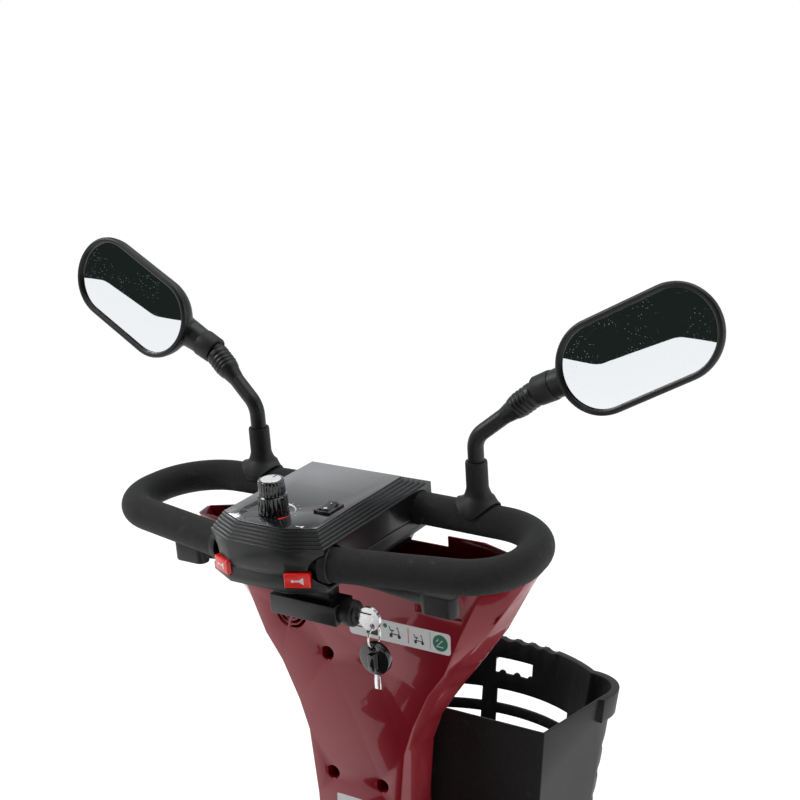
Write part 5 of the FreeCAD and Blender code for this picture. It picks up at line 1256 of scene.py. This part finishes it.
def makeWorld():
    # a white surround for the picture; gloss sees a pale room ahead and a dim one behind
    world = bpy.data.worlds.new("studio")
    world.use_nodes = True
    tree = Tree(world.node_tree)
    world.node_tree.nodes.remove(world.node_tree.nodes["Background"])
    way = tree.node("ShaderNodeTexCoord", {}, {}, output="Generated")
    east, north, up = [tree.node("ShaderNodeSeparateXYZ", {}, {"Vector": way}, output=axis) for axis in range(3)]
    ahead = tree.node("ShaderNodeMapRange", {"interpolation_type": "SMOOTHSTEP"},
                      {"Value": north - east * 0.35, "From Min": -0.15, "From Max": 0.25}, output="Result")
    high = tree.node("ShaderNodeMapRange", {"interpolation_type": "SMOOTHSTEP"},
                     {"Value": up, "From Min": 0.62, "From Max": 0.88}, output="Result")
    mixed = tree.node("ShaderNodeMix", {"data_type": "RGBA"}, {0: ahead, 6: (*studio["behind"], 1),
                                                               7: (*studio["ahead"], 1)}, output=2)
    tone = tree.node("ShaderNodeMix", {"data_type": "RGBA"}, {0: high, 6: mixed,
                                                              7: (*studio["top"], 1)}, output=2)
    room = tree.node("ShaderNodeBackground", {}, {"Color": tone, "Strength": studio["bright"]})
    white = tree.node("ShaderNodeBackground", {}, {"Color": (1, 1, 1, 1), "Strength": 1.0})
    seen = tree.node("ShaderNodeLightPath", {}, {}, output="Is Camera Ray")
    both = tree.node("ShaderNodeMixShader", {}, {0: seen, 1: room, 2: white})
    plug(tree.tree, world.node_tree.nodes["World Output"].inputs["Surface"], both)
    bpy.context.scene.world = world

def softbox(name, spot, target, size, power, colour=(1, 1, 1)):
    light = bpy.data.lights.new(name, "AREA")
    light.shape = "RECTANGLE"
    light.size, light.size_y = size
    light.energy = power
    light.color = colour
    lamp = bpy.data.objects.new(name, light)
    bpy.context.scene.collection.objects.link(lamp)
    turn = (Vector(target) - Vector(spot)).to_track_quat("-Z", "Y").to_matrix().to_4x4()
    lamp.matrix_world = Matrix.Translation(spot) @ turn

def makeCamera():
    view = {"spot": (0.9168, -1.0817, 1.360), "way": (-0.53046, 0.82152, -0.20909), "lens": 68.1}
    camera = bpy.data.objects.new("camera", bpy.data.cameras.new("camera"))
    camera.data.lens = view["lens"]
    camera.data.sensor_width = 36
    camera.data.clip_end = 100
    bpy.context.scene.collection.objects.link(camera)
    turn = Vector(view["way"]).to_track_quat("-Z", "Y").to_matrix().to_4x4()
    camera.matrix_world = Matrix.Translation(view["spot"]) @ turn
    bpy.context.scene.camera = camera

makeStage()
makeWorld()
softbox("keyLight", (-2.2, -1.2, 2.9), (0, 0.1, 0.8), (1.4, 1.4), 62)
softbox("fillLight", (2.9, 0.9, 2.0), (0, 0.1, 0.7), (1.0, 2.0), 22)
softbox("overLight", (0.2, 0.9, 4.2), (0, 0.1, 0), (3.0, 3.0), 70)
makeCamera()
bpy.context.scene.view_settings.view_transform = "Standard"
print("stage, lights and camera are in place")
